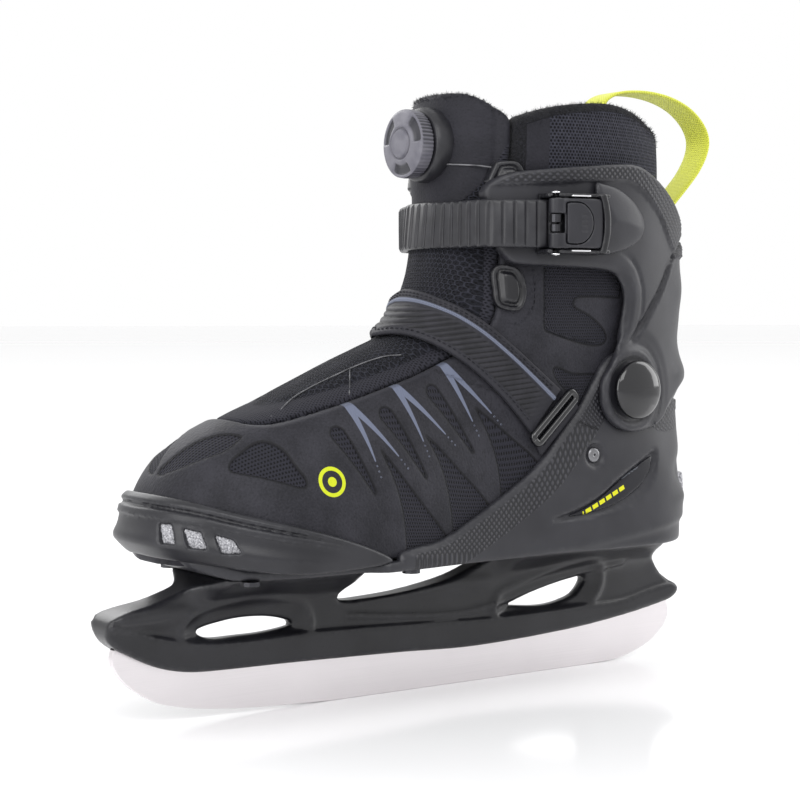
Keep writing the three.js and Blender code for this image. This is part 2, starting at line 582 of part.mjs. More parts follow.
function addBuckle() {
  const { wall, wallOut, leverHalf, pinX, pinY, pin } = buckle;
  const footprint = onCuff(box([-22, 14], [-8, 9], [-wallOut, wallOut]));
  const floor = layer(11.8, LAYER.cuffOut + GAP).intersect(footprint);
  const [length, height] = [[-18, 12.5], [-2, 10.6]];
  const walls = box(length, height, [wall, wallOut]).add(box(length, height, [-wallOut, -wall]));
  let base = floor.add(onCuff(walls).subtract(formSolid(LAYER.cuffOut + GAP)));
  base = base.subtract(onCuff(onHinge(-20, 20, pin + GAP / 2)));
  add('buckle_base', base, MOULDED);
  const bore = onHinge(-20, 20, pin + GAP / 2);
  const plate = box([-12.5, 6], [9.4, 12.6], [-leverHalf, leverHalf]);
  const web = box([5, 9.5], [9.4, 11.2], [-leverHalf, leverHalf]);
  const pad = { r: 8.4, x: -0.5 };
  let lever = plate.add(onHinge(-leverHalf, leverHalf, 2.9)).add(web);
  lever = lever.subtract(dPad({ r: pad.r + GAP, x: pad.x }, 8.8, 14)).subtract(bore);
  lever = lever.subtract(box([5.2, 13], [4, 11.3], [-4.2, 4.2]));
  add('buckle_lever', onCuff(lever), SHELL);
  add('release_button', onCuff(dPad(pad, 10.9, 13.1)), SHELL);
  add('lever_pin', onCuff(onHinge(-wallOut + 0.2, wallOut - 0.2, pin)), STEEL);
  const coil = new THREE.LatheGeometry(coilSection.map(p => new THREE.Vector2(...p)), 12);
  coil.rotateX(Math.PI / 2);
  coil.translate(pinX, pinY, 0);
  add('lever_spring', onCuff(solid(coil)), STEEL);
  const catchArm = box([5.6, 8.5], [6.5, 7.8], [0.4, 3.8]);
  add('pawl', onCuff(onHinge(0.4, 3.8, 2.7, 12).add(catchArm).subtract(bore)), STEEL);
}

// A D-shaped pad of the given radius, straight side forward, between two heights off the cuff.
function dPad({ r, x }, low, high) {
  const outline = [[x + 4.4, -r], [x + 4.4, r], ...arc([x - 1, 0], r, 90, 270, 8)];
  const geometry = new THREE.ExtrudeGeometry(shapeOf(outline), { depth: high - low, bevelEnabled: false });
  geometry.rotateX(Math.PI / 2);
  geometry.translate(0, high, 0);
  return solid(geometry);
}

// ---- lacing ----
const CABLE_R = 0.6;
const guides = {
  ankle: [[-21, 171], [-31.5, 168], [-31.5, 192], [-21, 190]],
  upper: [[-16, 229], [-30, 227], [-31, 236], [-19, 237.5]],
};
// Places where the lace crosses the instep, from the toe end up, as (x, y).
const crossings = [[89, 13], [70, 10], [46, 12], [29, 13]];
// Places on the flank, from the strap up to the ankle guide, as (x, z).
const flank = [[17, 160], [9, 164], [1, 167]];
// Places on the flank, from the dial to the upper guide, as (x, z).
const dialRun = [[-9, 241], [-13, 237], [-17, 233.5]];

function addLacing() {
  const path = side => [
    ...crossings.map(([x, y]) => above(x, side > 0 ? y : -y - 4, LAYER.laceCentre)),
    ...flank.map(([x, z]) => beside(x, z, LAYER.laceUnder, side)),
  ];
  const toe = above(93, -2, LAYER.laceCentre);
  add('lace_cable', cable([...path(-1).reverse(), toe, ...path(1)], CABLE_R, 30), STEEL);
  for (const [name, side] of sides) {
    const half = side > 0 ? [0, 80] : [-80, 0];
    const ankle = layer(5.6, 1.9).intersect(sideCut(guides.ankle, ...half));
    add(`ankle_guide_${name}`, ankle, MOULDED);
    const upper = layer(5.5, LAYER.upper + GAP).intersect(sideCut(guides.upper, ...half));
    add(`upper_guide_${name}`, upper, MOULDED);
    const run = dialRun.map(([x, z]) => beside(x, z, LAYER.laceCentre, side));
    add(`dial_cable_${name}`, cable(run, CABLE_R, 8), STEEL);
  }
}

function addDial() {
  const { z, base, knob } = DIAL;
  const onAxis = (from, to, radius, sides = 24) => rod([from, 0, z], [to, 0, z], radius, sides);
  const housing = onAxis(-24, 0.4, base, 32).subtract(formSolid(LAYER.upper + GAP));
  add('dial_base', housing.subtract(onAxis(-4.6, 2, 10)), MOULDED);
  add('dial_spool', onAxis(-4.3, -0.9, 9.6), MOULDED);
  add('dial_hub', onAxis(-0.6, 3.6, 5), DARK_STEEL);
  add('dial_knob', onAxis(0.8, 10.2, knob, 32).subtract(onAxis(0, 3.9, 5.3)), KNOB);
}

// ---- pull loop ----
const loopPath = [
  [-117, 250], [-110, 261], [-105, 269.5], [-111, 275.6], [-126, 278.4], [-144, 277.6], [-158.5, 273.6],
  [-168.5, 267.2], [-173.8, 259.5], [-173.4, 251.8], [-168, 242.3], [-160, 233.6], [-150, 223.8], [-140.6, 214],
];

function addLoop() {
  const curve = new THREE.CatmullRomCurve3(loopPath.map(([x, z]) => new THREE.Vector3(x, z, 0)));
  const steps = 30;
  const edge = offset => Array.from({ length: steps + 1 }, (_, i) => {
    const [p, t] = [curve.getPoint(i / steps), curve.getTangent(i / steps)];
    return [p.x - t.y * offset, p.y + t.x * offset];
  });
  const outline = [...edge(LOOP.thick / 2), ...edge(-LOOP.thick / 2).reverse()];
  add('pull_loop', sideCut(outline, -LOOP.half, LOOP.half), WEBBING);
}

addRunner();
addHolder();
addBolts();
addShell();
addBumper();
addBoot();
addCuff();
addStrap();
addRatchet();
addBuckle();
addLacing();
addDial();
addLoop();

skate.name = 'skate';
export default skate;
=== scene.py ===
import math

import bpy
import numpy as np
from mathutils import Matrix, Vector
from mathutils.kdtree import KDTree


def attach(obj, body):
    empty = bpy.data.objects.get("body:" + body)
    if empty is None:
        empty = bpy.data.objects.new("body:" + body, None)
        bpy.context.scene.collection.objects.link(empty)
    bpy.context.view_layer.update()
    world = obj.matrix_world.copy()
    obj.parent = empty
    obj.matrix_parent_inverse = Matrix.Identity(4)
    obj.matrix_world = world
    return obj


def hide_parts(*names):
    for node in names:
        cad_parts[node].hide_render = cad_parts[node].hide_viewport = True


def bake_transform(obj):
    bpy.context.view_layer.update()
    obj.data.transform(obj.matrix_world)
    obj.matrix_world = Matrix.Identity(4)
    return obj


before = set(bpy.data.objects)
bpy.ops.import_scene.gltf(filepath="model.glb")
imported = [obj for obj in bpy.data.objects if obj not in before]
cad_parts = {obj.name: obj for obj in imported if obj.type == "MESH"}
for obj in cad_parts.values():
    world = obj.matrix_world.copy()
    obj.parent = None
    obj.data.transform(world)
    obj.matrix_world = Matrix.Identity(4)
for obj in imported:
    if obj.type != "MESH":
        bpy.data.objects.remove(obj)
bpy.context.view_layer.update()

# Shapes are worked out in millimetres, in the frame's own axes: +X toe, +Y outer side, +Z up.
MM = 0.001
rng = np.random.default_rng(7)


# ---------------------------------------------------------------- camera, floor and light
def add_camera():
    data = bpy.data.cameras.new("camera")
    data.sensor_width = 36.0
    data.lens = 82.0
    camera = bpy.data.objects.new("camera", data)
    camera.location = (0.4796, 0.6717, 0.168)
    turn, tilt = math.radians(145), math.radians(90 - 2.54)
    camera.rotation_euler = (tilt, 0, turn)
    bpy.context.collection.objects.link(camera)
    bpy.context.scene.camera = camera


def add_light(name, place, size, power):
    data = bpy.data.lights.new(name, "AREA")
    data.shape = "RECTANGLE"
    data.size, data.size_y = size
    data.energy = power
    lamp = bpy.data.objects.new(name, data)
    lamp.location = place
    aim = Vector((-0.01, 0.0, 0.13)) - Vector(place)
    lamp.rotation_euler = aim.to_track_quat("-Z", "Y").to_euler()
    bpy.context.collection.objects.link(lamp)


def add_studio():
    world = bpy.data.worlds.new("studio")
    bpy.context.scene.world = world
    world.use_nodes = True
    back = world.node_tree.nodes["Background"]
    back.inputs["Color"].default_value = (1, 1, 1, 1)
    back.inputs["Strength"].default_value = 1.0
    bpy.context.scene.view_settings.view_transform = "Standard"
    add_light("key", (0.5, 0.9, 0.95), (0.9, 0.7), 7)
    add_light("front", (1.1, 0.2, 0.5), (0.5, 0.9), 5)
    add_light("rear", (-0.8, 0.25, 0.55), (0.35, 0.9), 3)
    add_light("inner", (0.1, -0.9, 0.7), (0.8, 0.6), 4)


def add_floor():
    mesh = bpy.data.meshes.new("floor")
    half = 40.0
    mesh.from_pydata([(-half, -half, 0), (half, -half, 0), (half, half, 0), (-half, half, 0)], [], [(0, 1, 2, 3)])
    floor = bpy.data.objects.new("floor", mesh)
    bpy.context.collection.objects.link(floor)
    material = bpy.data.materials.new("floor")
    material.use_nodes = True
    bsdf = material.node_tree.nodes["Principled BSDF"]
    bsdf.inputs["Base Color"].default_value = (0.93, 0.93, 0.94, 1)
    bsdf.inputs["Roughness"].default_value = 0.12
    mesh.materials.append(material)


# ---------------------------------------------------------------- the foot form
def profile(points):
    """A smooth curve through a few (position, value) points."""
    at, value = np.array(points, float).T
    slope = np.diff(value) / np.diff(at)
    tangent = np.concatenate([slope[:1], (slope[:-1] + slope[1:]) / 2, slope[-1:]])

    def curve(s):
        s = np.clip(s, at[0], at[-1])
        i = np.clip(np.searchsorted(at, s, side="right") - 1, 0, len(at) - 2)
        step = at[i + 1] - at[i]
        u = (s - at[i]) / step
        bend = step * u * (1 - u) * ((1 - u) * tangent[i] - u * tangent[i + 1])
        return value[i] * (1 + 2 * u) * (1 - u) ** 2 + value[i + 1] * u * u * (3 - 2 * u) + bend

    return curve


SOLE, TOE, HEEL = 66.6, 136.0, -143.0
BALL, SEAT = 72.0, -108.0
PIVOT = (-91.0, 135.5)
foot_half = profile([(-143, 35), (-108, 35), (-60, 34.5), (0, 38), (40, 44), (72, 46.5), (136, 46.5)])
foot_lean = profile([(-143, 0), (-20, 0), (60, -3), (136, -8)])
foot_top = profile([
    (-143, 118), (-100, 138), (-50, 154), (-10, 160), (14, 159),
    (34, 152), (60, 141), (85, 130), (108, 120), (136, 113),
])
shin_front = profile([
    (66, -25), (100, -4), (130, 8), (150, 10), (170, 5), (190, -3), (220, -7), (250, -8), (268, -10), (280, -13),
])
calf_back = profile([
    (66, -141), (100, -144), (130, -142), (150, -139), (190, -137), (220, -136), (250, -134), (268, -131), (280, -128),
])
leg_half = profile([(66, 33), (100, 35.5), (130, 36.5), (190, 38), (220, 40), (250, 42), (280, 42)])


def rounding(t, power):
    return np.maximum(1 - np.clip(t, 0, 1) ** power, 1e-6) ** (1 / power)


def form(x, y, z, grow=0.0):
    """About the distance outside the foot form grown by grow, the same form as the CAD layers use."""
    toe = (x - BALL) / (TOE + grow - BALL)
    tip = (x - 100) / (TOE + grow - 100)
    heel = (SEAT - x) / (SEAT - HEEL + grow)
    wide = (foot_half(x) + grow) * rounding(toe, 2.3) * rounding(heel, 2.0)
    high = (foot_top(x) + grow - SOLE) * rounding(tip, 2.4) * rounding(heel, 3.0)
    side, rise = np.abs(y - foot_lean(x)), np.maximum(z - SOLE, 0)
    ratio = ((side / wide) ** 2.3 + (rise / high) ** 2.3) ** (1 / 2.3)
    foot = np.hypot(side, rise) * (1 - 1 / np.maximum(ratio, 1e-6))
    foot = np.maximum(np.maximum(foot, x - TOE - grow), HEEL - grow - x)
    front, back = shin_front(z), calf_back(z)
    middle, long = (front + back) / 2, (front - back) / 2 + grow
    ratio = ((np.abs(x - middle) / long) ** 2.25 + (np.abs(y) / (leg_half(z) + grow)) ** 2.25) ** (1 / 2.25)
    leg = np.hypot(x - middle, y) * (1 - 1 / np.maximum(ratio, 1e-6))
    fillet = 14.0
    t = np.clip(0.5 + 0.5 * (leg - foot) / fillet, 0, 1)
    return leg * (1 - t) + foot * t - fillet * t * (1 - t)


# ---------------------------------------------------------------- outlines and fields
def step_up(t):
    """0 below t = 0, 1 above t = 1, smooth between."""
    t = np.clip(t, 0, 1)
    return t * t * (3 - 2 * t)


def bell(t, middle, width):
    """1 at the middle, falling away smoothly on both sides."""
    return np.exp(-(((t - middle) / width) ** 2))


def union(a, b, radius=0.0):
    if radius == 0:
        return np.minimum(a, b)
    t = np.clip(0.5 + 0.5 * (b - a) / radius, 0, 1)
    return b * (1 - t) + a * t - radius * t * (1 - t)


def both(a, b, radius=0.0):
    return -union(-a, -b, radius)


def smooth_loop(points, steps=7, closed=True):
    """Points along a smooth curve through the given ones; a point given twice is a corner."""
    p = np.array(points, float)
    n = len(p)
    out = []
    for i in range(n if closed else n - 1):
        a, b = p[i], p[(i + 1) % n]
        if np.allclose(a, b):
            continue
        before = p[(i - 1) % n] if closed or i > 0 else a
        after = p[(i + 2) % n] if closed or i < n - 2 else b
        reach = np.linalg.norm(b - a)
        ta = (b - before) / (np.linalg.norm(b - before) + 1e-9) * reach if not np.allclose(a, before) else b - a
        tb = (after - a) / (np.linalg.norm(after - a) + 1e-9) * reach if not np.allclose(after, b) else b - a
        for u in np.arange(steps) / steps:
            out.append(a * (1 + 2 * u) * (1 - u) ** 2 + b * u * u * (3 - 2 * u)
                       + u * (1 - u) * ((1 - u) * ta - u * tb))
    if not closed:
        out.append(p[-1])
    return np.array(out)


def line_distance(px, py, points, closed):
    """Distance from points to a polyline, how far along it the nearest place is, and the winding sign."""
    best = np.full(px.shape, 1e9)
    along = np.zeros(px.shape)
    inside = np.zeros(px.shape, bool)
    run = 0.0
    pairs = zip(points, np.roll(points, -1, 0)) if closed else zip(points[:-1], points[1:])
    for (ax, ay), (bx, by) in pairs:
        dx, dy = bx - ax, by - ay
        length = math.hypot(dx, dy)
        if length < 1e-9:
            continue
        t = np.clip(((px - ax) * dx + (py - ay) * dy) / length**2, 0, 1)
        d = np.hypot(px - ax - t * dx, py - ay - t * dy)
        nearer = d < best
        best = np.where(nearer, d, best)
        along = np.where(nearer, run + t * length, along)
        crosses = (ay > py) != (by > py)
        inside ^= crosses & (px < dx * (py - ay) / (dy if dy else 1e-9) + ax)
        run += length
    return best, along, inside


class Flat:
    """A function of two coordinates, kept on a fine grid and read back between its points."""

    def __init__(self, low, high, make, step=0.6):
        self.low, self.step = np.array(low, float), step
        counts = np.ceil((np.array(high) - self.low) / step).astype(int) + 1
        axes = [self.low[k] + step * np.arange(counts[k]) for k in (0, 1)]
        self.high = np.array([axes[0][-1], axes[1][-1]])
        self.values = make(*np.meshgrid(*axes, indexing="ij"))

    def __call__(self, a, b):
        a, b = np.broadcast_arrays(a, b)
        ca, cb = np.clip(a, self.low[0], self.high[0]), np.clip(b, self.low[1], self.high[1])
        u, v = (ca - self.low[0]) / self.step, (cb - self.low[1]) / self.step
        i = np.clip(u.astype(int), 0, self.values.shape[0] - 2)
        j = np.clip(v.astype(int), 0, self.values.shape[1] - 2)
        u, v = u - i, v - j
        g = self.values
        flat = (g[i, j] * (1 - u) + g[i + 1, j] * u) * (1 - v) + (g[i, j + 1] * (1 - u) + g[i + 1, j + 1] * u) * v
        return flat + np.hypot(a - ca, b - cb)


def outline(points, steps=7, margin=14):
    """Signed distance to a smooth closed outline, negative inside."""
    loop = smooth_loop(points, steps)

    def signed(a, b):
        d, _, inside = line_distance(a, b, loop, True)
        return np.where(inside, -d, d)

    return Flat(loop.min(0) - margin, loop.max(0) + margin, signed)


def track(points, steps=7, margin=14):
    """Distance to an open smooth line, and how far along the line."""
    line = smooth_loop(points, steps, closed=False)
    low, high = line.min(0) - margin, line.max(0) + margin
    distance = Flat(low, high, lambda a, b: line_distance(a, b, line, False)[0])
    run = Flat(low, high, lambda a, b: line_distance(a, b, line, False)[1])
    return distance, run, line


# ---------------------------------------------------------------- meshes from fields
def gradient(field, p, h=0.15):
    g = np.empty_like(p)
    for k in range(3):
        ahead, behind = p.copy(), p.copy()
        ahead[:, k] += h
        behind[:, k] -= h
        g[:, k] = (field(*ahead.T) - field(*behind.T)) / (2 * h)
    return g


def settle(field, p, limit, rounds=3):
    """Moves points onto the field's surface."""
    for _ in range(rounds):
        g = gradient(field, p)
        size = np.maximum((g * g).sum(1), 0.05)
        move = -(field(*p.T) / size)[:, None] * g
        length = np.linalg.norm(move, axis=1, keepdims=True)
        p = p + move * np.minimum(1, limit / np.maximum(length, 1e-9))
    return p


def mesh_field(field, low, high, step, relax=2):
    """A quad mesh of the surface where the field is zero."""
    low, high = np.array(low, float), np.array(high, float)
    counts = np.ceil((high - low) / step).astype(int) + 1
    axes = [low[k] + step * np.arange(counts[k]) for k in range(3)]
    shape = [(-1, 1, 1), (1, -1, 1), (1, 1, -1)]
    grid = np.broadcast_to(field(*[axes[k].reshape(shape[k]) for k in range(3)]), counts).astype(np.float64)
    solid = grid < 0
    n = counts - 1
    corner = lambda a, i, j, k: a[i:i + n[0], j:j + n[1], k:k + n[2]]
    total = sum(corner(solid, i, j, k).astype(np.int8) for i in (0, 1) for j in (0, 1) for k in (0, 1))
    cells = np.argwhere((total > 0) & (total < 8))
    ids = -np.ones(n, int)
    ids[tuple(cells.T)] = np.arange(len(cells))
    places, hits = np.zeros((len(cells), 3)), np.zeros(len(cells))
    for k in range(3):
        for da in (0, 1):
            for db in (0, 1):
                start = np.zeros(3, int)
                start[(k + 1) % 3], start[(k + 2) % 3] = da, db
                end = start.copy()
                end[k] = 1
                va, vb = grid[tuple((cells + start).T)], grid[tuple((cells + end).T)]
                cross = (va < 0) != (vb < 0)
                t = np.where(cross, va / np.where(cross, va - vb, 1), 0)
                places += cross[:, None] * (start + t[:, None] * (end - start))
                hits += cross
    p = low + step * (cells + places / hits[:, None])
    quads = []
    for k in range(3):
        a, b = (k + 1) % 3, (k + 2) % 3
        cut = [slice(None)] * 3
        cut[k] = slice(0, -1)
        ahead = [slice(None)] * 3
        ahead[k] = slice(1, None)
        edges = np.argwhere(solid[tuple(cut)] != solid[tuple(ahead)])
        edges = edges[(edges[:, a] > 0) & (edges[:, b] > 0) & (edges[:, a] < n[a]) & (edges[:, b] < n[b])]
        out = solid[tuple(edges.T)]
        offsets = []
        for da, db in ((1, 1), (0, 1), (0, 0), (1, 0)):
            cell = edges.copy()
            cell[:, a] -= da
            cell[:, b] -= db
            offsets.append(ids[tuple(cell.T)])
        ring = np.stack(offsets, 1)
        quads.append(np.where(out[:, None], ring, ring[:, ::-1]))
    faces = np.concatenate(quads)
    p = settle(field, p, step * 0.5)
    edges = np.concatenate([faces[:, [i, (i + 1) % 4]] for i in range(4)])
    for _ in range(relax):
        total = np.stack([np.bincount(edges[:, 0], p[edges[:, 1], k], len(p)) for k in range(3)], 1)
        total += np.stack([np.bincount(edges[:, 1], p[edges[:, 0], k], len(p)) for k in range(3)], 1)
        count = np.bincount(edges[:, 0], minlength=len(p)) + np.bincount(edges[:, 1], minlength=len(p))
        p = settle(field, p * 0.5 + 0.5 * total / np.maximum(count, 1)[:, None], step * 0.5, 2)
    used = np.unique(faces)
    remap = -np.ones(len(p), int)
    remap[used] = np.arange(len(used))
    return p[used], remap[faces]


def wear_marks(points, faces):
    """The values the moulded materials read, for a piece with no woven relief."""
    return {"worn": edge_wear(points, faces), "carbon": np.full(len(points), 9.0)}


def build(name, points, faces, material, body, replaces=(), marks=None, sharp=None):
    """One mesh object from points in millimetres, with named values at its points."""
    mesh = bpy.data.meshes.new(name)
    mesh.from_pydata((np.asarray(points) * MM).tolist(), [], [list(map(int, f)) for f in faces])
    mesh.polygons.foreach_set("use_smooth", [True] * len(mesh.polygons))
    for key, values in (marks or {}).items():
        values = np.asarray(values, float)
        kind = "FLOAT" if values.ndim == 1 else "FLOAT_VECTOR"
        mark = mesh.attributes.new(key, kind, "POINT")
        mark.data.foreach_set("value" if values.ndim == 1 else "vector", values.ravel())
    if sharp is not None:
        mesh.set_sharp_from_angle(angle=math.radians(sharp))
    mesh.materials.append(material)
    piece = bpy.data.objects.new(name, mesh)
    bpy.context.collection.objects.link(piece)
    if body is not None:
        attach(piece, body)
    if replaces:
        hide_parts(*replaces)
    return piece


def join_meshes(parts):
    """Several (points, faces) as one."""
    points, faces, start = [], [], 0
    for p, f in parts:
        points.append(np.asarray(p, float))
        faces.extend([[i + start for i in face] for face in f])
        start += len(p)
    return np.concatenate(points), faces


def grid_faces(rows, columns, around=False, ends=False):
    """Quads over a grid of points; around joins the last row to the first."""
    faces = []
    for r in range(rows if around else rows - 1):
        n = (r + 1) % rows
        for c in range(columns - 1):
            faces.append([r * columns + c, n * columns + c, n * columns + c + 1, r * columns + c + 1])
    if ends and around:
        faces.append([r * columns for r in range(rows)])
        faces.append([r * columns + columns - 1 for r in reversed(range(rows))])
    return faces


def tube_mesh(path, radius, sides=8):
    """A round cord along a path, with closed ends."""
    path = np.asarray(path, float)
    along = np.gradient(path, axis=0)
    along /= np.linalg.norm(along, axis=1, keepdims=True)
    side = np.cross(along[0], (0.3, 0.2, 0.9))
    rings = []
    for p, t in zip(path, along):
        side = side - t * (side @ t)
        side /= np.linalg.norm(side)
        up = np.cross(t, side)
        turn = 2 * np.pi * np.arange(sides) / sides
        rings.append(p + radius * (np.cos(turn)[:, None] * side + np.sin(turn)[:, None] * up))
    points = np.stack(rings, 1).reshape(-1, 3)
    return points, grid_faces(sides, len(path), around=True, ends=True)


def resample(path, pitch):
    """Points evenly spaced along a path."""
    path = np.asarray(path, float)
    run = np.concatenate([[0], np.cumsum(np.linalg.norm(np.diff(path, axis=0), axis=1))])
    at = np.linspace(0, run[-1], max(2, int(round(run[-1] / pitch)) + 1))
    return np.stack([np.interp(at, run, path[:, k]) for k in range(3)], 1)


def on_form(points, grow):
    """Points moved onto the form grown by an offset."""
    return settle(lambda x, y, z: form(x, y, z, grow), np.array(points, float), 12, 8)


def beside(x, z, side=1):
    """A point well out on one flank, to be moved onto the form."""
    x, z = np.broadcast_arrays(np.asarray(x, float), np.asarray(z, float))
    return np.stack([x, np.full(x.shape, 46.0 * side), z], -1)


def flank_path(pairs, grow, side=1, pitch=0.8, closed=False):
    """A line drawn on the side of the boot through (x, z) points, lying on the grown form."""
    line = smooth_loop(pairs, 8, closed)
    if closed:
        line = np.concatenate([line, line[:1]])
    start = beside(line[:, 0], line[:, 1], side)
    for lift in (grow + 6, grow):
        start = project_y(start, lift, side)
    return resample(start, pitch)


def project_y(points, grow, side):
    """Points slid across the boot until they lie on the grown form."""
    near, far = np.zeros(len(points)), np.full(len(points), 90.0)
    x, z = points[:, 0], points[:, 2]
    for _ in range(24):
        mid = (near + far) / 2
        inside = form(x, side * mid, z, grow) < 0
        near, far = np.where(inside, mid, near), np.where(inside, far, mid)
    return np.stack([x, side * near, z], 1)


def surface_normal(points, grow=3.0):
    g = gradient(lambda x, y, z: form(x, y, z, grow), points)
    return g / np.linalg.norm(g, axis=1, keepdims=True)


def stitches(path, length=2.0, gap=0.9, radius=0.32, lift=0.0):
    """Raised thread stitches along a path."""
    path = resample(path, 0.1)
    run = np.arange(len(path)) * 0.1
    normals = surface_normal(path)
    parts = []
    for start in np.arange(gap, run[-1] - length, length + gap):
        at = np.linspace(start, start + length, 5)
        index = np.clip((at / 0.1).astype(int), 0, len(path) - 1)
        dip = np.array([-0.35, 0.12, 0.2, 0.12, -0.35])[:, None]
        parts.append(tube_mesh(path[index] + normals[index] * (dip + lift), radius, 6))
    return join_meshes(parts)


# ---------------------------------------------------------------- shader expressions
class Value:
    """A number in a material's nodes; sums and products of Values add the nodes for them."""

    def __init__(self, tree, socket):
        self.tree, self.socket = tree, socket

    def math(self, kind, *others, clamp=False):
        node = self.tree.nodes.new("ShaderNodeMath")
        node.operation, node.use_clamp = kind, clamp
        for i, other in enumerate((self, *others)):
            feed(self.tree, other, node.inputs[i])
        return Value(self.tree, node.outputs[0])

    def __add__(self, other):
        return self.math("ADD", other)

    def __radd__(self, other):
        return self.math("ADD", other)

    def __sub__(self, other):
        return self.math("SUBTRACT", other)

    def __rsub__(self, other):
        return (self * -1.0).math("ADD", other)

    def __mul__(self, other):
        return self.math("MULTIPLY", other)

    def __rmul__(self, other):
        return self.math("MULTIPLY", other)

    def low(self, other):
        return self.math("MINIMUM", other)

    def high(self, other):
        return self.math("MAXIMUM", other)

    def wave(self, period):
        """A cosine wave, from 0 to 1."""
        return (self * (2 * math.pi / period)).math("COSINE") * 0.5 + 0.5

    def saw(self, period):
        """The place within each period, from -period/2 to period/2."""
        return self.math("WRAP", period / 2, -period / 2)

    def step(self, start, end):
        """0 at start and before, 1 at end and beyond, smooth between."""
        node = self.tree.nodes.new("ShaderNodeMapRange")
        node.interpolation_type = "SMOOTHSTEP"
        feed(self.tree, self, node.inputs["Value"])
        reverse = end < start
        low, high = (end, start) if reverse else (start, end)
        node.inputs["From Min"].default_value = low
        node.inputs["From Max"].default_value = high
        node.inputs["To Min"].default_value = 1.0 if reverse else 0.0
        node.inputs["To Max"].default_value = 0.0 if reverse else 1.0
        return Value(self.tree, node.outputs["Result"])


def feed(tree, value, socket):
    if isinstance(value, Value):
        tree.links.new(value.socket, socket)
    else:
        socket.default_value = value


class Paint:
    """A material under construction."""

    def __init__(self, name):
        self.material = bpy.data.materials.new(name)
        self.material.use_nodes = True
        self.tree = self.material.node_tree
        self.bsdf = self.tree.nodes["Principled BSDF"]

    def mark(self, name):
        node = self.tree.nodes.new("ShaderNodeAttribute")
        node.attribute_name = name
        return Value(self.tree, node.outputs["Fac"])

    def place(self, name="flat"):
        """The parts of a stored vector."""
        node = self.tree.nodes.new("ShaderNodeAttribute")
        node.attribute_name = name
        return self.parts(node.outputs["Vector"])

    def parts(self, socket):
        split = self.tree.nodes.new("ShaderNodeSeparateXYZ")
        self.tree.links.new(socket, split.inputs[0])
        return [Value(self.tree, out) for out in split.outputs]

    def where(self):
        """Object coordinates in millimetres."""
        node = self.tree.nodes.new("ShaderNodeTexCoord")
        return [part * 1000.0 for part in self.parts(node.outputs["Object"])]

    def vector(self, parts):
        node = self.tree.nodes.new("ShaderNodeCombineXYZ")
        for i, part in enumerate(parts):
            feed(self.tree, part, node.inputs[i])
        return node.outputs[0]

    def noise(self, size, detail=2.0, parts=None, rough=0.5):
        """Smooth noise with features of about size millimetres."""
        node = self.tree.nodes.new("ShaderNodeTexNoise")
        self.tree.links.new(self.vector(parts or self.where()), node.inputs["Vector"])
        node.inputs["Scale"].default_value = 1.0 / size
        node.inputs["Detail"].default_value = detail
        node.inputs["Roughness"].default_value = rough
        return Value(self.tree, node.outputs["Fac"])

    def cells(self, size, parts=None, feature="F1"):
        node = self.tree.nodes.new("ShaderNodeTexVoronoi")
        node.feature = feature
        self.tree.links.new(self.vector(parts or self.where()), node.inputs["Vector"])
        node.inputs["Scale"].default_value = 1.0 / size
        return Value(self.tree, node.outputs["Distance"])

    def mix(self, amount, a, b):
        node = self.tree.nodes.new("ShaderNodeMix")
        node.data_type = "RGBA"
        feed(self.tree, amount, node.inputs["Factor"])
        for value, socket in ((a, node.inputs["A"]), (b, node.inputs["B"])):
            if isinstance(value, tuple):
                socket.default_value = (*value, 1.0)
            else:
                self.tree.links.new(value, socket)
        return node.outputs["Result"]

    def bump(self, height, depth):
        """Adds relief; height 1 stands depth millimetres above height 0."""
        node = self.tree.nodes.new("ShaderNodeBump")
        node.inputs["Strength"].default_value = 1.0
        node.inputs["Distance"].default_value = depth * MM
        feed(self.tree, height, node.inputs["Height"])
        held = self.bsdf.inputs["Normal"]
        if held.is_linked:
            self.tree.links.new(held.links[0].from_socket, node.inputs["Normal"])
        self.tree.links.new(node.outputs[0], held)

    def finish(self, colour, rough, metal=0.0, coat=0.0, sheen=0.0, shine=0.5):
        if isinstance(colour, tuple):
            self.bsdf.inputs["Base Color"].default_value = (*colour, 1.0)
        else:
            self.tree.links.new(colour, self.bsdf.inputs["Base Color"])
        feed(self.tree, rough, self.bsdf.inputs["Roughness"])
        self.bsdf.inputs["Metallic"].default_value = metal
        self.bsdf.inputs["Coat Weight"].default_value = coat
        self.bsdf.inputs["Coat Roughness"].default_value = 0.08
        self.bsdf.inputs["Sheen Weight"].default_value = sheen
        self.bsdf.inputs["Specular IOR Level"].default_value = shine
        return self.material


# ---------------------------------------------------------------- patterns
def knit(u, v, size):
    """A tight knitted mesh, 0 in its holes and 1 on its threads."""
    row = (v * (1.0 / size)).math("FLOOR")
    shift = u + row.math("WRAP", 2.0, 0.0) * (size * 0.5)
    across = shift.wave(size)
    up = v.wave(size)
    return 1.0 - (1.0 - across) * (1.0 - up) * 1.2


def hexes(u, v, size):
    """Distance from the edge of honeycomb cells, 0 on the walls and about size / 2 in the middles."""
    tall = size * math.sqrt(3)
    found = None
    for shift in (0.0, 0.5):
        a = (u + shift * size).saw(size).math("ABSOLUTE")
        b = (v + shift * tall).saw(tall).math("ABSOLUTE")
        reach = a.high(a * 0.5 + b * (math.sqrt(3) / 2))
        found = reach if found is None else found.low(reach)
    return size / 2 - found


def lattice(u, v, size):
    """Small raised diamonds in diagonal rows, as moulded carbon weave: height from 0 to 1."""
    return (u + v).wave(size) * (u - v).wave(size)


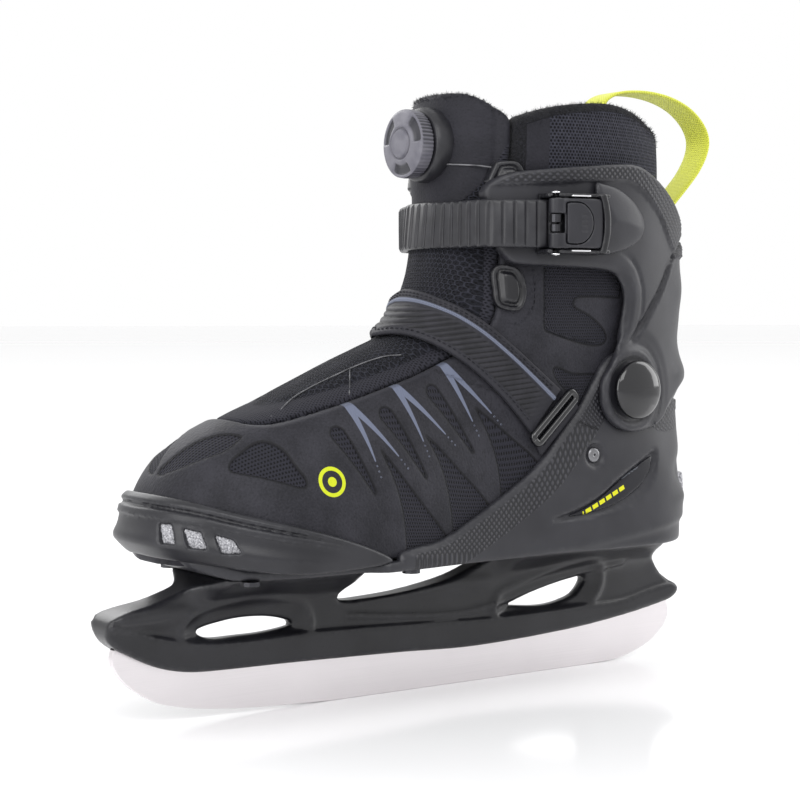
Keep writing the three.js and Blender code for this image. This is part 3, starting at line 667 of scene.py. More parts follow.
def bar(x, z, start, end, wide, narrow):
    """Signed distance to a straight bar that narrows from one half width to another."""
    dx, dz = end[0] - start[0], end[1] - start[1]
    px, pz = x - start[0], z - start[1]
    t = ((px * dx + pz * dz) * (1 / (dx * dx + dz * dz))).math("MINIMUM", 1.0).math("MAXIMUM", 0.0)
    off_x, off_z = px - t * dx, pz - t * dz
    return (off_x * off_x + off_z * off_z).math("SQRT") + t * (wide - narrow) - wide


# ---------------------------------------------------------------- materials
def paint_nubuck_parts(p, u, v):
    """Fine leather-like grain: height and colour share of the synthetic overlay."""
    grain = p.cells(0.95, [u, v, 0.0], "SMOOTH_F1")
    speck = p.noise(0.9, 3.0)
    cloud = p.noise(16.0, 3.0)
    return grain * 0.7 + speck * 0.3, cloud * 0.6 + speck * 0.4


def paint_upper():
    p = Paint("upper_fabric")
    u, v, _ = p.place("flat")
    x, y, z = p.place("rest")
    gore, edge = p.mark("gore"), p.mark("edge")
    grain, cloud = paint_nubuck_parts(p, u, v)
    threads = knit(u, v, 1.35)
    open_mesh = gore.step(0.25, -0.25)
    stripe = None
    for top, front, back in STRIPES:
        for end in (front, back):
            arm = bar(x, z, top, end, 1.75, 0.3)
            stripe = arm if stripe is None else stripe.low(arm)
    dx, dz = x - EMBLEM[0], z - EMBLEM[1]
    away = (dx * dx + dz * dz).math("SQRT")
    mark = ((away - 5.4).math("ABSOLUTE") - 0.8).low(away - 2.0) + y.step(1.0, -1.0) * 60.0
    printed, badge = stripe.step(0.12, -0.12), mark.step(0.1, -0.1)
    leather = p.mix(cloud.step(0.3, 0.7), (0.0085, 0.0085, 0.012), (0.0245, 0.024, 0.031))
    leather = p.mix(grain.step(0.42, 0.12) * 0.45, leather, (0.004, 0.004, 0.006))
    cloth = p.mix(threads.step(0.0, 0.85), (0.0012, 0.0012, 0.0022), (0.017, 0.017, 0.024))
    colour = p.mix(printed, leather, (0.115, 0.13, 0.185))
    colour = p.mix(edge.step(1.2, 0.2) * 0.4, colour, (0.035, 0.035, 0.044))
    colour = p.mix(open_mesh, colour, cloth)
    colour = p.mix((gore - 0.1).math("ABSOLUTE").step(0.75, 0.25) * 0.75, colour, (0.002, 0.002, 0.003))
    colour = p.mix(badge, colour, (0.50, 0.56, 0.012))
    p.bump(open_mesh * threads, 0.4)
    p.bump((1.0 - open_mesh) * grain, 0.24)
    p.bump(stripe.step(0.25, -0.25).high(mark.step(0.2, -0.2)), 0.12)
    rough = open_mesh * 0.25 + 0.6 - printed * 0.12 - badge * 0.12
    return p.finish(colour, rough, sheen=0.03, shine=0.22)


def paint_tongue():
    p = Paint("tongue_fabric")
    u, v, _ = p.place("flat")
    smooth_part, band = p.mark("panel"), p.mark("band")
    cell = hexes(u, v, 2.5)
    wall = cell.step(0.45, 0.1)
    threads = knit(u, v, 1.15)
    grain, cloud = paint_nubuck_parts(p, u, v)
    panel = smooth_part.step(0.2, -0.2)
    ribbon = band.step(0.2, -0.2)
    net = p.mix(wall.high(threads * 0.3), (0.002, 0.002, 0.0035), (0.022, 0.023, 0.032))
    leather = p.mix(cloud.step(0.25, 0.75), (0.0095, 0.0095, 0.013), (0.019, 0.0185, 0.025))
    leather = p.mix(grain.step(0.42, 0.12) * 0.45, leather, (0.004, 0.004, 0.006))
    cloth = p.mix(threads, (0.003, 0.003, 0.005), (0.024, 0.024, 0.032))
    colour = p.mix(ribbon, net, cloth)
    colour = p.mix(panel, colour, leather)
    p.bump((1.0 - panel) * (1.0 - ribbon) * wall, 0.6)
    p.bump((1.0 - panel) * threads, 0.25)
    p.bump(panel * grain, 0.22)
    return p.finish(colour, 0.86 - panel * 0.24, sheen=0.03, shine=0.2)


def paint_collar():
    p = Paint("collar_fabric")
    u, v, _ = p.place("flat")
    smooth_part, plush = p.mark("panel"), p.mark("plush")
    net = hexes(u, v, 1.7)
    ring = hexes(u, v, 6.8)
    wall = net.step(0.5, 0.15)
    big = ring.step(0.9, 0.2)
    grain, cloud = paint_nubuck_parts(p, u, v)
    panel, pile = smooth_part.step(0.2, -0.2), plush.step(0.4, -0.4)
    fuzz = p.noise(1.1, 4.0, rough=0.7)
    mesh_colour = p.mix(wall * 0.8 + big * 0.2, (0.002, 0.002, 0.004), (0.034, 0.035, 0.048))
    leather = p.mix(cloud.step(0.25, 0.75), (0.0095, 0.0095, 0.013), (0.019, 0.0185, 0.025))
    leather = p.mix(grain.step(0.42, 0.12) * 0.45, leather, (0.004, 0.004, 0.006))
    pile_colour = p.mix(fuzz.step(0.3, 0.75), (0.002, 0.002, 0.003), (0.014, 0.014, 0.019))
    colour = p.mix(panel, mesh_colour, leather)
    colour = p.mix(pile, colour, pile_colour)
    cloth = (1.0 - panel) * (1.0 - pile)
    p.bump(cloth * (wall + big * 0.6), 0.35)
    p.bump(panel * grain, 0.22)
    p.bump(pile * fuzz, 1.4)
    return p.finish(colour, 0.88 - panel * 0.22, sheen=0.03, shine=0.2)


def paint_plush():
    p = Paint("plush_fibre")
    tint = p.noise(2.5, 2.0)
    return p.finish(p.mix(tint.step(0.3, 0.7), (0.004, 0.004, 0.006), (0.022, 0.022, 0.029)), 0.95, sheen=0.05, shine=0.15)


def paint_shell():
    """Moulded shell: spark-eroded texture, woven relief where the carbon value says so, with painted shade in the
    weave's valleys and painted highlight on its tops, rubbed edges.
    """
    p = Paint("shell_plastic")
    u, v, _ = p.place("flat")
    carbon, worn = p.mark("carbon"), p.mark("worn")
    cloth = lattice(u, v, 2.9)
    on = carbon.step(0.3, -0.3)
    erosion = p.noise(0.45, 2.0)
    cloud = p.noise(22.0, 3.0)
    rub = worn * p.noise(3.0, 3.0).step(0.35, 0.7)
    colour = p.mix(cloud.step(0.3, 0.7), (0.0135, 0.0135, 0.0175), (0.022, 0.022, 0.027))
    # painted shade and painted highlight on the moulded weave: its valleys are darkened and its raised diamonds
    # lightened, following the relief
    colour = p.mix(on * cloth.step(0.3, 0.08) * 0.75, colour, (0.004, 0.004, 0.006))
    colour = p.mix(on * cloth.step(0.4, 0.75) * 0.55, colour, (0.042, 0.042, 0.052))
    colour = p.mix(rub * 0.5, colour, (0.06, 0.06, 0.066))
    p.bump(erosion, 0.045)
    p.bump(on * cloth, 0.28)
    return p.finish(colour, 0.36 + erosion * 0.14 + on * 0.04, shine=0.38)


def paint_holder():
    p = Paint("holder_plastic")
    erosion, cloud = p.noise(0.5, 2.0), p.noise(25.0, 3.0)
    worn = p.mark("worn") * p.noise(3.0, 3.0).step(0.35, 0.7)
    colour = p.mix(cloud.step(0.3, 0.7), (0.006, 0.006, 0.008), (0.012, 0.012, 0.015))
    colour = p.mix(worn * 0.5, colour, (0.05, 0.05, 0.055))
    p.bump(erosion, 0.03)
    return p.finish(colour, 0.24 + erosion * 0.12, shine=0.42)


def paint_bumper():
    p = Paint("bumper_rubber")
    erosion, cloud = p.noise(0.5, 2.0), p.noise(20.0, 3.0)
    worn = p.mark("worn") * p.noise(2.5, 3.0).step(0.35, 0.7)
    colour = p.mix(cloud.step(0.3, 0.7), (0.011, 0.011, 0.014), (0.019, 0.019, 0.023))
    colour = p.mix(worn * 0.4, colour, (0.055, 0.055, 0.062))
    p.bump(erosion, 0.04)
    return p.finish(colour, 0.3 + erosion * 0.16, shine=0.38)


def paint_steel(name="runner_steel", colour=(0.76, 0.725, 0.74), rough=0.3, grain=(60.0, 60.0, 0.12)):
    p = Paint(name)
    x, y, z = p.where()
    lines = p.noise(1.0, 3.0, [x * (1 / grain[0]), y * (1 / grain[1]), z * (1 / grain[2])])
    cloud = p.noise(40.0, 2.0)
    tone = p.mix(lines * 0.6 + cloud * 0.4, tuple(c * 0.86 for c in colour), tuple(min(1, c * 1.12) for c in colour))
    p.bump(lines, 0.02)
    return p.finish(tone, rough - 0.05 + lines * 0.14, metal=1.0)


def paint_strap():
    p = Paint("strap_rubber")
    u, v, _ = p.place("flat")
    rib, piping = p.mark("rib"), p.mark("piping")
    threads = knit(u, v, 0.9)
    grain, cloud = paint_nubuck_parts(p, u, v)
    leather = p.mix(cloud.step(0.25, 0.75), (0.013, 0.013, 0.017), (0.025, 0.0245, 0.031))
    rubber = p.mix(p.noise(8.0, 3.0).step(0.3, 0.7), (0.012, 0.012, 0.015), (0.021, 0.0205, 0.026))
    pipe = p.mix(threads, (0.07, 0.08, 0.115), (0.135, 0.15, 0.205))
    colour = p.mix(rib, leather, rubber)
    # painted shade: the hollows between the strap's ribs are darkened towards black
    colour = p.mix(p.mark("painted_valley_shade").step(0.15, 0.8) * 0.85, colour, (0.003, 0.003, 0.004))
    colour = p.mix(piping, colour, pipe)
    p.bump((1.0 - rib) * (1.0 - piping) * grain, 0.1)
    p.bump(piping * threads, 0.15)
    return p.finish(colour, 0.6 - rib * 0.08, sheen=0.02, shine=0.25)


def paint_gloss():
    p = Paint("cap_gloss")
    haze = p.noise(9.0, 3.0)
    colour = p.mix(haze, (0.003, 0.003, 0.004), (0.006, 0.006, 0.008))
    p.bump(p.noise(6.0, 1.0), 0.02)
    return p.finish(colour, 0.06 + haze * 0.08, coat=0.3)


def paint_plain(name, dark, pale, rough, relief=0.05, size=0.6, metal=0.0, sheen=0.0, shine=0.4):
    """Small moulded or coated parts: mottled colour with a fine texture."""
    p = Paint(name)
    fine, cloud = p.noise(size, 2.0), p.noise(size * 14, 3.0)
    p.bump(fine, relief)
    return p.finish(p.mix(cloud.step(0.3, 0.7), dark, pale), rough - 0.05 + fine * 0.12, metal=metal, sheen=sheen, shine=shine)


def paint_knob():
    p = Paint("knob_plastic")
    fine, cloud = p.noise(0.5, 2.0), p.noise(7.0, 3.0)
    colour = p.mix(cloud.step(0.3, 0.7), (0.105, 0.103, 0.125), (0.15, 0.147, 0.17))
    # painted shade: the grey knob is darkened in its finger scoops, between its grip teeth and on its underside, in
    # step with their depth
    colour = p.mix(p.mark("painted_shade_depth").step(0.1, 0.85) * 0.85, colour, (0.014, 0.014, 0.018))
    p.bump(fine, 0.05)
    return p.finish(colour, 0.37 + fine * 0.12, shine=0.4)


def paint_webbing():
    p = Paint("webbing")
    u, v, _ = p.place("flat")
    bars = p.mark("bars")
    rib = v.wave(1.1)
    twill = (u + v).wave(1.6)
    threads = rib * 0.6 + twill * 0.4
    yellow = p.mix(threads, (0.42, 0.44, 0.02), (0.68, 0.72, 0.07))
    grey = p.mix(threads, (0.10, 0.10, 0.10), (0.22, 0.22, 0.20))
    p.bump(threads, 0.16)
    return p.finish(p.mix(bars.step(0.15, -0.15), yellow, grey), 0.72, sheen=0.2)


def paint_reflector():
    p = Paint("reflector")
    bead = p.cells(1.0).step(0.1, 0.6)
    glitter = p.noise(0.7, 2.0).step(0.35, 0.65)
    colour = p.mix(bead * 0.5 + glitter * 0.5, (0.60, 0.60, 0.63), (0.13, 0.13, 0.145))
    p.bump(bead, 0.2)
    return p.finish(colour, 0.4)


# ---------------------------------------------------------------- regions drawn on the side of the boot
FLEX = 30.5  # tilt of the flex line from the ankle pivot, in degrees


def taper(px, pz, a, b, ra, rb):
    """Signed distance to a straight bar that narrows from radius ra to rb."""
    dx, dz = b[0] - a[0], b[1] - a[1]
    t = np.clip(((px - a[0]) * dx + (pz - a[1]) * dz) / (dx * dx + dz * dz), 0, 1)
    return np.hypot(px - a[0] - t * dx, pz - a[1] - t * dz) - (ra + (rb - ra) * t)


gore_outlines = [
    outline([
        (46.2, 113.3), (46.2, 113.3), (40.6, 99), (37.4, 86), (35.4, 64), (35.4, 64), (6, 64), (6, 64),
        (13.3, 74.4), (30, 93),
    ]),
    outline([
        (21.4, 118.6), (21.4, 118.6), (14.2, 104), (10.6, 90), (8.6, 70), (8.6, 70), (-20, 70), (-20, 70),
        (-12.1, 85.7), (5, 103),
    ]),
    outline([
        (-8.4, 129.3), (-8.4, 129.3), (-15, 115), (-18.5, 102), (-20, 82), (-20, 82), (-50, 82), (-50, 82),
        (-41, 102.1), (-25, 116),
    ]),
]
knit_panels = [
    outline([
        (-43.5, 192), (-43.5, 163), (-43.5, 163), (-60, 158), (-73, 156), (-79.5, 158.5), (-77, 164), (-68, 170),
        (-60.5, 173.2), (-59.2, 175.6), (-62, 178), (-88, 178), (-88, 178), (-88, 240), (-43.5, 240), (-43.5, 240),
    ]),
    outline([
        (-48.5, 145), (-60, 143.2), (-95, 142.5), (-95, 142.5), (-112, 120), (-112, 88), (-112, 88), (-66, 96),
        (-56, 112), (-62, 128),
    ]),
]
SLOTS = [((64.0, 119.5), (51.6, 95.3)), ((39.2, 127.0), (23.6, 100.4)), ((12.6, 136.0), (-4.7, 109.7))]
STRIPES = [
    ((55.9, 133.0), (49.6, 108.4), (37.6, 110.0)),
    ((31.5, 140.2), (23.1, 115.7), (10.2, 118.2)),
    ((4.6, 148.8), (-6.1, 123.2), (-16.3, 126.4)),
]
EMBLEM = (71.8, 100.8)
opening = outline([
    (99.5, 130), (98.6, 126.3), (95, 124), (86.8, 124), (72.7, 127.4), (55.4, 132.1), (31.4, 139.2), (18, 143.2),
    (5, 148.0), (-6, 153.5), (-14, 160), (-20, 168), (-22.5, 177), (-24, 192), (-26, 225), (-28, 245), (-28, 300), (-28, 300),
    (140, 300), (140, 300), (140, 140), (112, 133),
])


def wrap(x, y, z):
    """How far round the foot from its ridge a point is, in millimetres, negative on the inner side."""
    return np.arctan2(y - foot_lean(x), np.maximum(z - SOLE, 0) + 12) * 52


def wrapped(points):
    x, y, z = np.array(points, float).T
    return list(zip(x, wrap(x, y, z)))


vents = [
    outline(wrapped([
        (128.4, -5.5, 106), (123.4, -2.6, 111.8), (108.9, 6.6, 120.6), (101.2, 16.4, 120.8),
        (103.9, 17.8, 118.5), (109.9, 17.6, 115), (118, 12.8, 111.8), (125, 5.5, 108.6),
    ]), margin=20),
    outline(wrapped([
        (109.8, 23.1, 110.4), (104, 22.9, 114.7), (97.9, 23, 118.1), (93.6, 25.4, 118.5), (88.9, 31.1, 114.9),
        (86.2, 36.1, 108.5), (83.1, 39.6, 102.5), (84.4, 40.2, 100.1), (90.4, 38.2, 101.5), (101.2, 32.5, 104.9),
        (110.6, 25.3, 107.3),
    ]), margin=20),
]


def gores(x, y, z):
    """Signed distance to the knitted parts of the upper."""
    d = np.full(np.broadcast(x, y, z).shape, 60.0)
    for region in (*gore_outlines, *knit_panels):
        d = np.minimum(d, region(x, z))
    for a, b in SLOTS:
        d = np.minimum(d, taper(x, z, a, b, 3.4, 0.7))
    round_foot = np.abs(wrap(x, y, z))
    for vent in vents:
        d = np.minimum(d, np.where(x > 70, vent(x, round_foot), 60.0))
    return d


def shin_run(x, z):
    """Length along the tongue's middle line, from the toe up."""
    return tongue_line[1](x, z)


tongue_line = track([
    (104, 121), (85, 130), (60, 141), (34, 151), (18, 158), (8, 167), (4, 176), (0, 190), (-5, 215), (-8, 250), (-12, 280),
], margin=90)


def body_uv(points):
    """Flat coordinates over the boot: along the sole on the foot, round the leg above it."""
    x, y, z = points.T
    middle = (shin_front(z) + calf_back(z)) / 2
    turn = np.arctan2(y, x - middle) * 48
    leg = step_up((z - 128 - 0.35 * (x + 40)) / 1.0)
    return np.stack([np.where(leg > 0.5, turn, x), np.where(leg > 0.5, z, wrap(x, y, z)), 0 * x], 1)


# ---------------------------------------------------------------- soft boot
def edge_wear(points, faces, gain=1.0):
    """1 on outward edges and 0 on flats and hollows."""
    faces = np.asarray(faces)
    edges = np.concatenate([faces[:, [i, (i + 1) % 4]] for i in range(4)])
    total = np.stack([np.bincount(edges[:, 0], points[edges[:, 1], k], len(points)) for k in range(3)], 1)
    total += np.stack([np.bincount(edges[:, 1], points[edges[:, 0], k], len(points)) for k in range(3)], 1)
    count = np.bincount(edges.ravel(), minlength=len(points))
    offset = points - total / np.maximum(count, 1)[:, None]
    a, b, c, d = (points[faces[:, i]] for i in range(4))
    area = np.cross(c - a, d - b)
    normal = np.stack([np.bincount(faces.ravel(), np.repeat(area[:, k], 4), len(points)) for k in range(3)], 1)
    normal /= np.maximum(np.linalg.norm(normal, axis=1, keepdims=True), 1e-9)
    bulge = (offset * normal).sum(1)
    length = np.linalg.norm(points[edges[:, 0]] - points[edges[:, 1]], axis=1).mean()
    return np.clip(gain * (bulge / length - 0.06) * 6, 0, 1)


def upper_field(x, y, z):
    relief = step_up((gores(x, y, z) + 0.8) / 1.6)
    turn = tuck(x, z)
    out = form(x, y, z, 1.15 + 0.75 * relief + turn)
    inn = form(x, y, z, -1.7 + turn)
    shell = both(both(out, -inn, 1.0), 66.9 - z, 0.5)
    shell = both(shell, heel_slope(x, z) + 3.0, 1.0)
    return both(both(shell, -opening(x, z), 1.3), z - 204, 0.5)


def add_upper(material):
    points, faces = mesh_field(upper_field, (-152, -56, 64), (146, 56, 208), 1.55)
    x, y, z = points.T
    marks = {
        "flat": body_uv(points), "rest": points, "gore": gores(x, y, z), "edge": np.abs(opening(x, z)),
    }
    return build("upper", points, faces, material, None, ["boot_upper", "flex_panel"], marks)


def cloth_shift(points, field, low, high, held, limit):
    """How points move when a coarse copy of a pad is blown up as cloth, held where held(x, y, z) says."""
    coarse, faces = mesh_field(field, low, high, 5.0)
    mesh = bpy.data.meshes.new("pad_copy")
    mesh.from_pydata((coarse * MM).tolist(), [], faces.tolist())
    copy = bpy.data.objects.new("pad_copy", mesh)
    bpy.context.collection.objects.link(copy)
    group = copy.vertex_groups.new(name="held")
    group.add(np.where(held(*coarse.T))[0].tolist(), 1.0, "REPLACE")
    cloth = copy.modifiers.new("cloth", "CLOTH")
    cloth.settings.use_pressure = True
    cloth.settings.uniform_pressure_force = 4
    cloth.settings.vertex_group_mass = "held"
    cloth.settings.effector_weights.gravity = 0
    cloth.point_cache.frame_end = 20
    for number in range(1, 21):
        bpy.context.scene.frame_set(number)
    shape = copy.evaluated_get(bpy.context.evaluated_depsgraph_get()).to_mesh()
    moved = np.empty(len(coarse) * 3)
    shape.vertices.foreach_get("co", moved)
    shift = moved.reshape(-1, 3) / MM - coarse
    bpy.data.objects.remove(copy)
    bpy.context.scene.frame_set(1)
    far = np.linalg.norm(shift, axis=1, keepdims=True)
    shift *= limit * np.tanh(far / limit) / np.maximum(far, 1e-6)
    tree = KDTree(len(coarse))
    for i, place in enumerate(coarse):
        tree.insert(place, i)
    tree.balance()
    out = np.empty(points.shape)
    for i, place in enumerate(points):
        near = tree.find_n(place, 6)
        weight = np.array([1 / (d + 0.5) ** 2 for _, _, d in near])
        out[i] = weight @ shift[[n for _, n, _ in near]] / weight.sum()
    return out


tongue_top = profile([(-34, 253), (-28, 257.5), (-22, 263), (-14, 268.5), (-6, 270), (6, 268)])
smooth_tongue = outline([
    (25, 285), (-40, 285), (-40, 285), (-40, 252), (-27, 246), (-22, 237), (-16, 227), (-8, 219.5), (25, 216), (25, 216),
])


def tongue_lift(x, z):
    """How far the tongue's face stands off the foot form."""
    within = -opening(x, z)
    rise = 2.3 * step_up((within + 0.6) / 2.0) + 0.6 * step_up((z - 222) / 8)
    return rise - 1.9 + 1.5 * step_up((within - 6.0) / 12.0) - 0.75 * bell(within, 6.0, 1.1)


def tongue_field(x, y, z):
    within = -opening(x, z)
    out = form(x, y, z, tongue_lift(x, z))
    inn = form(x, y, z, -4.6)
    pad = both(out, -inn, 2.5)
    pad = both(pad, -within - 3.2, 1.0)
    pad = both(pad, -28.2 - x, 2.0)
    return both(pad, z - tongue_top(x), 3.4)


def add_tongue(material):
    points, faces = mesh_field(tongue_field, (-34, -50, 100), (108, 50, 274), 1.6)
    x, y, z = points.T
    free = step_up((z - 222) / 10)[:, None]
    shift = cloth_shift(points, tongue_field, (-40, -56, 190), (30, 56, 280), lambda x, y, z: z < 222, 1.3) * free
    across = np.arctan2(y - foot_lean(x) * (z < 150), 34) * 42
    marks = {
        "flat": np.stack([across, shin_run(x, z), 0 * x], 1),
        "panel": smooth_tongue(x, z), "band": np.abs(opening(x, z) + 3.0) - 2.9,
    }
    return build("tongue", points + shift, faces, material, None, ["tongue_lower", "tongue_upper"], marks)


collar_top = profile([(-145, 250), (-134, 254.5), (-120, 258), (-107, 261), (-94, 264), (-78, 266), (-60, 265), (-42, 262), (-27, 257)])
smooth_collar = outline([(-10, 290), (-10, 290), (-10, 190), (-10, 190), (-42, 190), (-42, 190), (-42, 240), (-41.5, 290), (-41.5, 290)])


def collar_field(x, y, z):
    puff = 2.0 * step_up((z - 212) / 26) * step_up((x + 96) / 30)
    slim = 3.6 * step_up((-84 - x) / 30)
    out = form(x, y, z, 2.3 + puff - slim)
    inn = form(x, y, z, -5.5 - 1.2 * step_up((z - 235) / 20))
    pad = both(out, -inn, 3.5)
    pad = both(pad, z - collar_top(x), 5.5)
    pad = both(pad, x + 28.6, 3.0)
    return both(pad, 198 - z, 1.0)


def add_collar(material):
    points, faces = mesh_field(collar_field, (-148, -56, 194), (-22, 56, 272), 1.6)
    x, y, z = points.T
    free = step_up((z - 234) / 8)[:, None]
    shift = cloth_shift(points, collar_field, (-152, -60, 188), (-18, 60, 278), lambda x, y, z: z < 234, 1.6) * free
    middle = (shin_front(z) + calf_back(z)) / 2
    turn = np.arctan2(y, x - middle) * 50
    depth = form(x, y, z)
    plush = np.minimum(np.minimum(collar_top(x) - 4.2 - z, 0.5 * (depth - 0.6 + 3.6 * step_up((-84 - x) / 30))), -31.4 - x)
    marks = {"flat": np.stack([turn, z, 0 * x], 1), "panel": smooth_collar(x, z), "plush": plush}
    return build("collar_pad", points + shift, faces, material, "cuff", ["collar"], marks)


# ---------------------------------------------------------------- hard shell
shell_side = outline([
    (44.5, 66.3), (38.9, 70), (16.6, 73.4), (-8.8, 84.5), (-30, 96.2), (-41, 105), (-51, 116), (-62.7, 128.5),
    (-71.4, 141), (-78, 149.5), (-91, 153.5), (-103, 149), (-110, 139), (-116, 130), (-124, 129.5), (-137, 130.6),
    (-150, 131.5), (-165, 131), (-165, 131), (-165, 40), (-165, 40), (160, 40), (160, 40), (160, 76), (160, 76),
    (136, 76), (110, 66.6), (100, 66.3), (60, 66.3),
])
badge_side = outline([
    (-46.5, 77.4), (-46.5, 77.4), (-60, 81.2), (-72.2, 86.2), (-84, 93.4), (-97, 100.4), (-108.8, 105.2),
    (-108.8, 105.2), (-106.6, 97.3), (-98, 89), (-84.3, 82.6), (-72.2, 79.6), (-60, 78),
])
bevel_side = outline([
    (-38, 74.0), (-38, 74.0), (-56, 76.2), (-72, 77.6), (-86, 79.6), (-99, 84.4), (-107.5, 92.5), (-112.5, 106.5),
    (-112.5, 106.5), (-107, 107), (-97, 100.4), (-84, 93.4), (-72.2, 86.2), (-60, 81.2), (-48, 77.4),
])
shoulder_line = track([(-60, 108), (-74, 115.8), (-90.7, 112), (-106.8, 117), (-126, 125), (-165, 133)], margin=40)


def shell_relief(x, z):
    edge = -shell_side(x, z)
    badge, bevel = badge_side(x, z), bevel_side(x, z)
    lip = -0.9 * step_up((2.2 - edge) / 0.8) * (x < 40)
    seat = -2.1 * step_up((1.0 - badge) / 1.2)
    dimple = -1.6 * step_up((6.0 - np.hypot(x + 70, z - 106)) / 1.4)
    slope = -1.0 * step_up(-bevel / 2.0) * step_up((6.5 - badge) / 6.0)
    heel = step_up((-118 - x) / 18)
    waist = -2.4 * heel * np.exp(-(((z - 95.5) / 7.0) ** 2))
    crest = 0.9 * heel * np.exp(-(((z - 83) / 3.5) ** 2))
    above = step_up((z - 119.5 - 0.22 * (-118 - x)) / 1.2) * step_up((-106 - x) / 4)
    ridges = 0.28 * np.sin(z * 2 * np.pi / 2.9) * step_up((-128 - x) / 10) * above
    crease = 63 + 11 * np.clip((-30 - x) / 110, 0, 1) ** 1.4
    under = -np.clip(0.55 * (crease - z), 0, 2.2) * step_up((-20 - x) / 30)
    return lip + seat + dimple + slope + waist + crest + 0.5 * above + ridges + under


def heel_slope(x, z):
    """Distance outside the slanting face under the heel."""
    return -0.77 * (x + 140.5) - 0.64 * (z - 65)


def sole_top(x):
    return 66.2 + 6.0 * step_up((x - 96) / 40)


def chassis_field(x, y, z):
    inset = 6.4 * step_up((x - 45) / 12)
    out = form(x, y, z, np.maximum(5.4 + shell_relief(x, z), 3.75) - inset)
    spring = 7.5 * step_up((x - 109) / 30)
    blank = both(both(out, shell_side(x, z), 1.4), PLATE + spring - z, 2.6)
    blank = both(blank, x - 129 + (70 - z) * 0.8, 2.0)
    blank = both(blank, heel_slope(x, z), 3.0)
    hollow = both(form(x, y, z, 0.9), sole_top(x) + 0.05 - z, 0.3)
    hollow = both(hollow, heel_slope(x, z) + 2.6)
    fore = both(41.5 - x, sole_top(x) - z)
    return both(both(blank, -hollow, 0.8), -fore, 0.8)


PLATE = 61.5


def add_chassis(material):
    points, faces = mesh_field(chassis_field, (-154, -57, 59), (146, 57, 158), 1.45)
    x, y, z = points.T
    edge = -shell_side(x, z)
    band = np.abs(edge - 8.5) - 6.0
    out = 3.6 - form(x, y, z)
    rear = np.maximum(106 + x, 119.5 + 0.22 * (-118 - x) - z)
    carbon = np.maximum(np.maximum(np.minimum(np.maximum(band, x - 34), rear), out), -bevel_side(x, z) - 1.5)
    marks = {"flat": body_uv(points), "carbon": carbon, "worn": edge_wear(points, faces)}
    return build("shell", points, faces, material, "boot", ["chassis"], marks)


bumper_side = outline([
    (156, 71.6), (156, 97), (156, 97), (137, 96.4), (126.6, 94), (115.2, 90.4), (101.9, 86.8),
    (86.7, 82.8), (68.9, 77.3), (54, 71.8), (45.6, 67.6), (45.6, 65.8), (60, 64.6), (83, 63.8), (106, 65.5),
    (120, 67.9), (136, 70.2), (156, 71.6),
])
bumper_low = profile([(44, 66.2), (60, 65), (83, 64.2), (106, 66), (120, 68.5), (136, 71), (142, 71.6)])
bumper_high = profile([(44, 68), (69, 77.3), (86.7, 82.8), (102, 86.8), (115, 90.4), (126.6, 94), (137, 96.4)])
window_sides = [
    [(138.3, 10.6, 84.8), (135.6, 16.6, 84.8), (134.4, 19.8, 77.0), (138.3, 13.4, 77.0)],
    [(132.8, 21.4, 83.6), (127.6, 28.0, 82.0), (125.4, 30.6, 75.2), (131.2, 24.6, 75.7)],
    [(123.4, 32.4, 81.2), (116.6, 36.9, 79.0), (113.8, 38.8, 73.6), (121.2, 34.6, 73.6)],
]


def toe_turn(x, y):
    """Place round the toe, in millimetres from its tip, the same on both sides."""
    return np.arctan2(np.abs(y - foot_lean(x)), x - 92) * 50


window_maps = []
for corners in window_sides:
    cx, cy, cz = np.array(corners).T
    loop = [p for p in zip(toe_turn(cx, cy), cz) for _ in (0, 1)]
    window_maps.append(outline(loop, steps=3, margin=10))


def windows(x, y, z):
    turn = toe_turn(x, y)
    return np.minimum.reduce([np.where(x > 98, w(turn, z), 30.0) for w in window_maps])


def toe_share(x, z):
    """Height over the bumper: 0 at its lower edge, 1 at its upper edge."""
    low = bumper_low(x)
    return (z - low) / (bumper_high(x) - low)


def tuck(x, z):
    """How far the toe's underside turns in under the bumper's bulge."""
    return -5.5 * step_up((x - 92) / 36) * np.clip((0.2 - toe_share(x, z)) / 0.25, 0, 1) ** 1.4


def bumper_field(x, y, z):
    share, turn = toe_share(x, z), tuck(x, z)
    band = step_up((share - 0.61) / 0.035) * step_up((0.785 - share) / 0.035)
    relief = band + 0.9 * bell(share, 0.9, 0.06) - 1.0 * bell(share, 0.82, 0.022) + 1.3 * bell(share, 0.265, 0.14)
    out = form(x, y, z, 4.8 + relief * step_up((x - 58) / 40) + turn)
    ring = both(both(out, bumper_side(x, z), 1.8), -form(x, y, z, 1.95 + turn), 0.6)
    pocket = windows(x, y, z)
    floor = form(x, y, z, 3.1)
    return both(ring, -both(pocket, -floor), 0.7)


def add_bumper(material):
    points, faces = mesh_field(bumper_field, (40, -58, 59), (147, 56, 100), 0.95)
    marks = {"worn": edge_wear(points, faces)}
    return build("bumper", points, faces, material, "boot", ["toe_bumper"], marks)


def reflector_field(x, y, z):
    return both(both(form(x, y, z, 3.7), -form(x, y, z, 2.1), 0.3), windows(x, y, z) - 0.6, 0.3)


def add_bumper_windows(material):
    points, faces = mesh_field(reflector_field, (100, -50, 70), (146, 50, 89), 1.0)
    for name, side in (("outer", 1), ("inner", -1)):
        keep = side * (points[:, 1] - foot_lean(points[:, 0])) > 0
        index = np.cumsum(keep) - 1
        own = [index[f] for f in faces if keep[f].all()]
        build(f"bumper_window_{name}", points[keep], own, material, "boot", [f"bumper_mesh_{name}"])


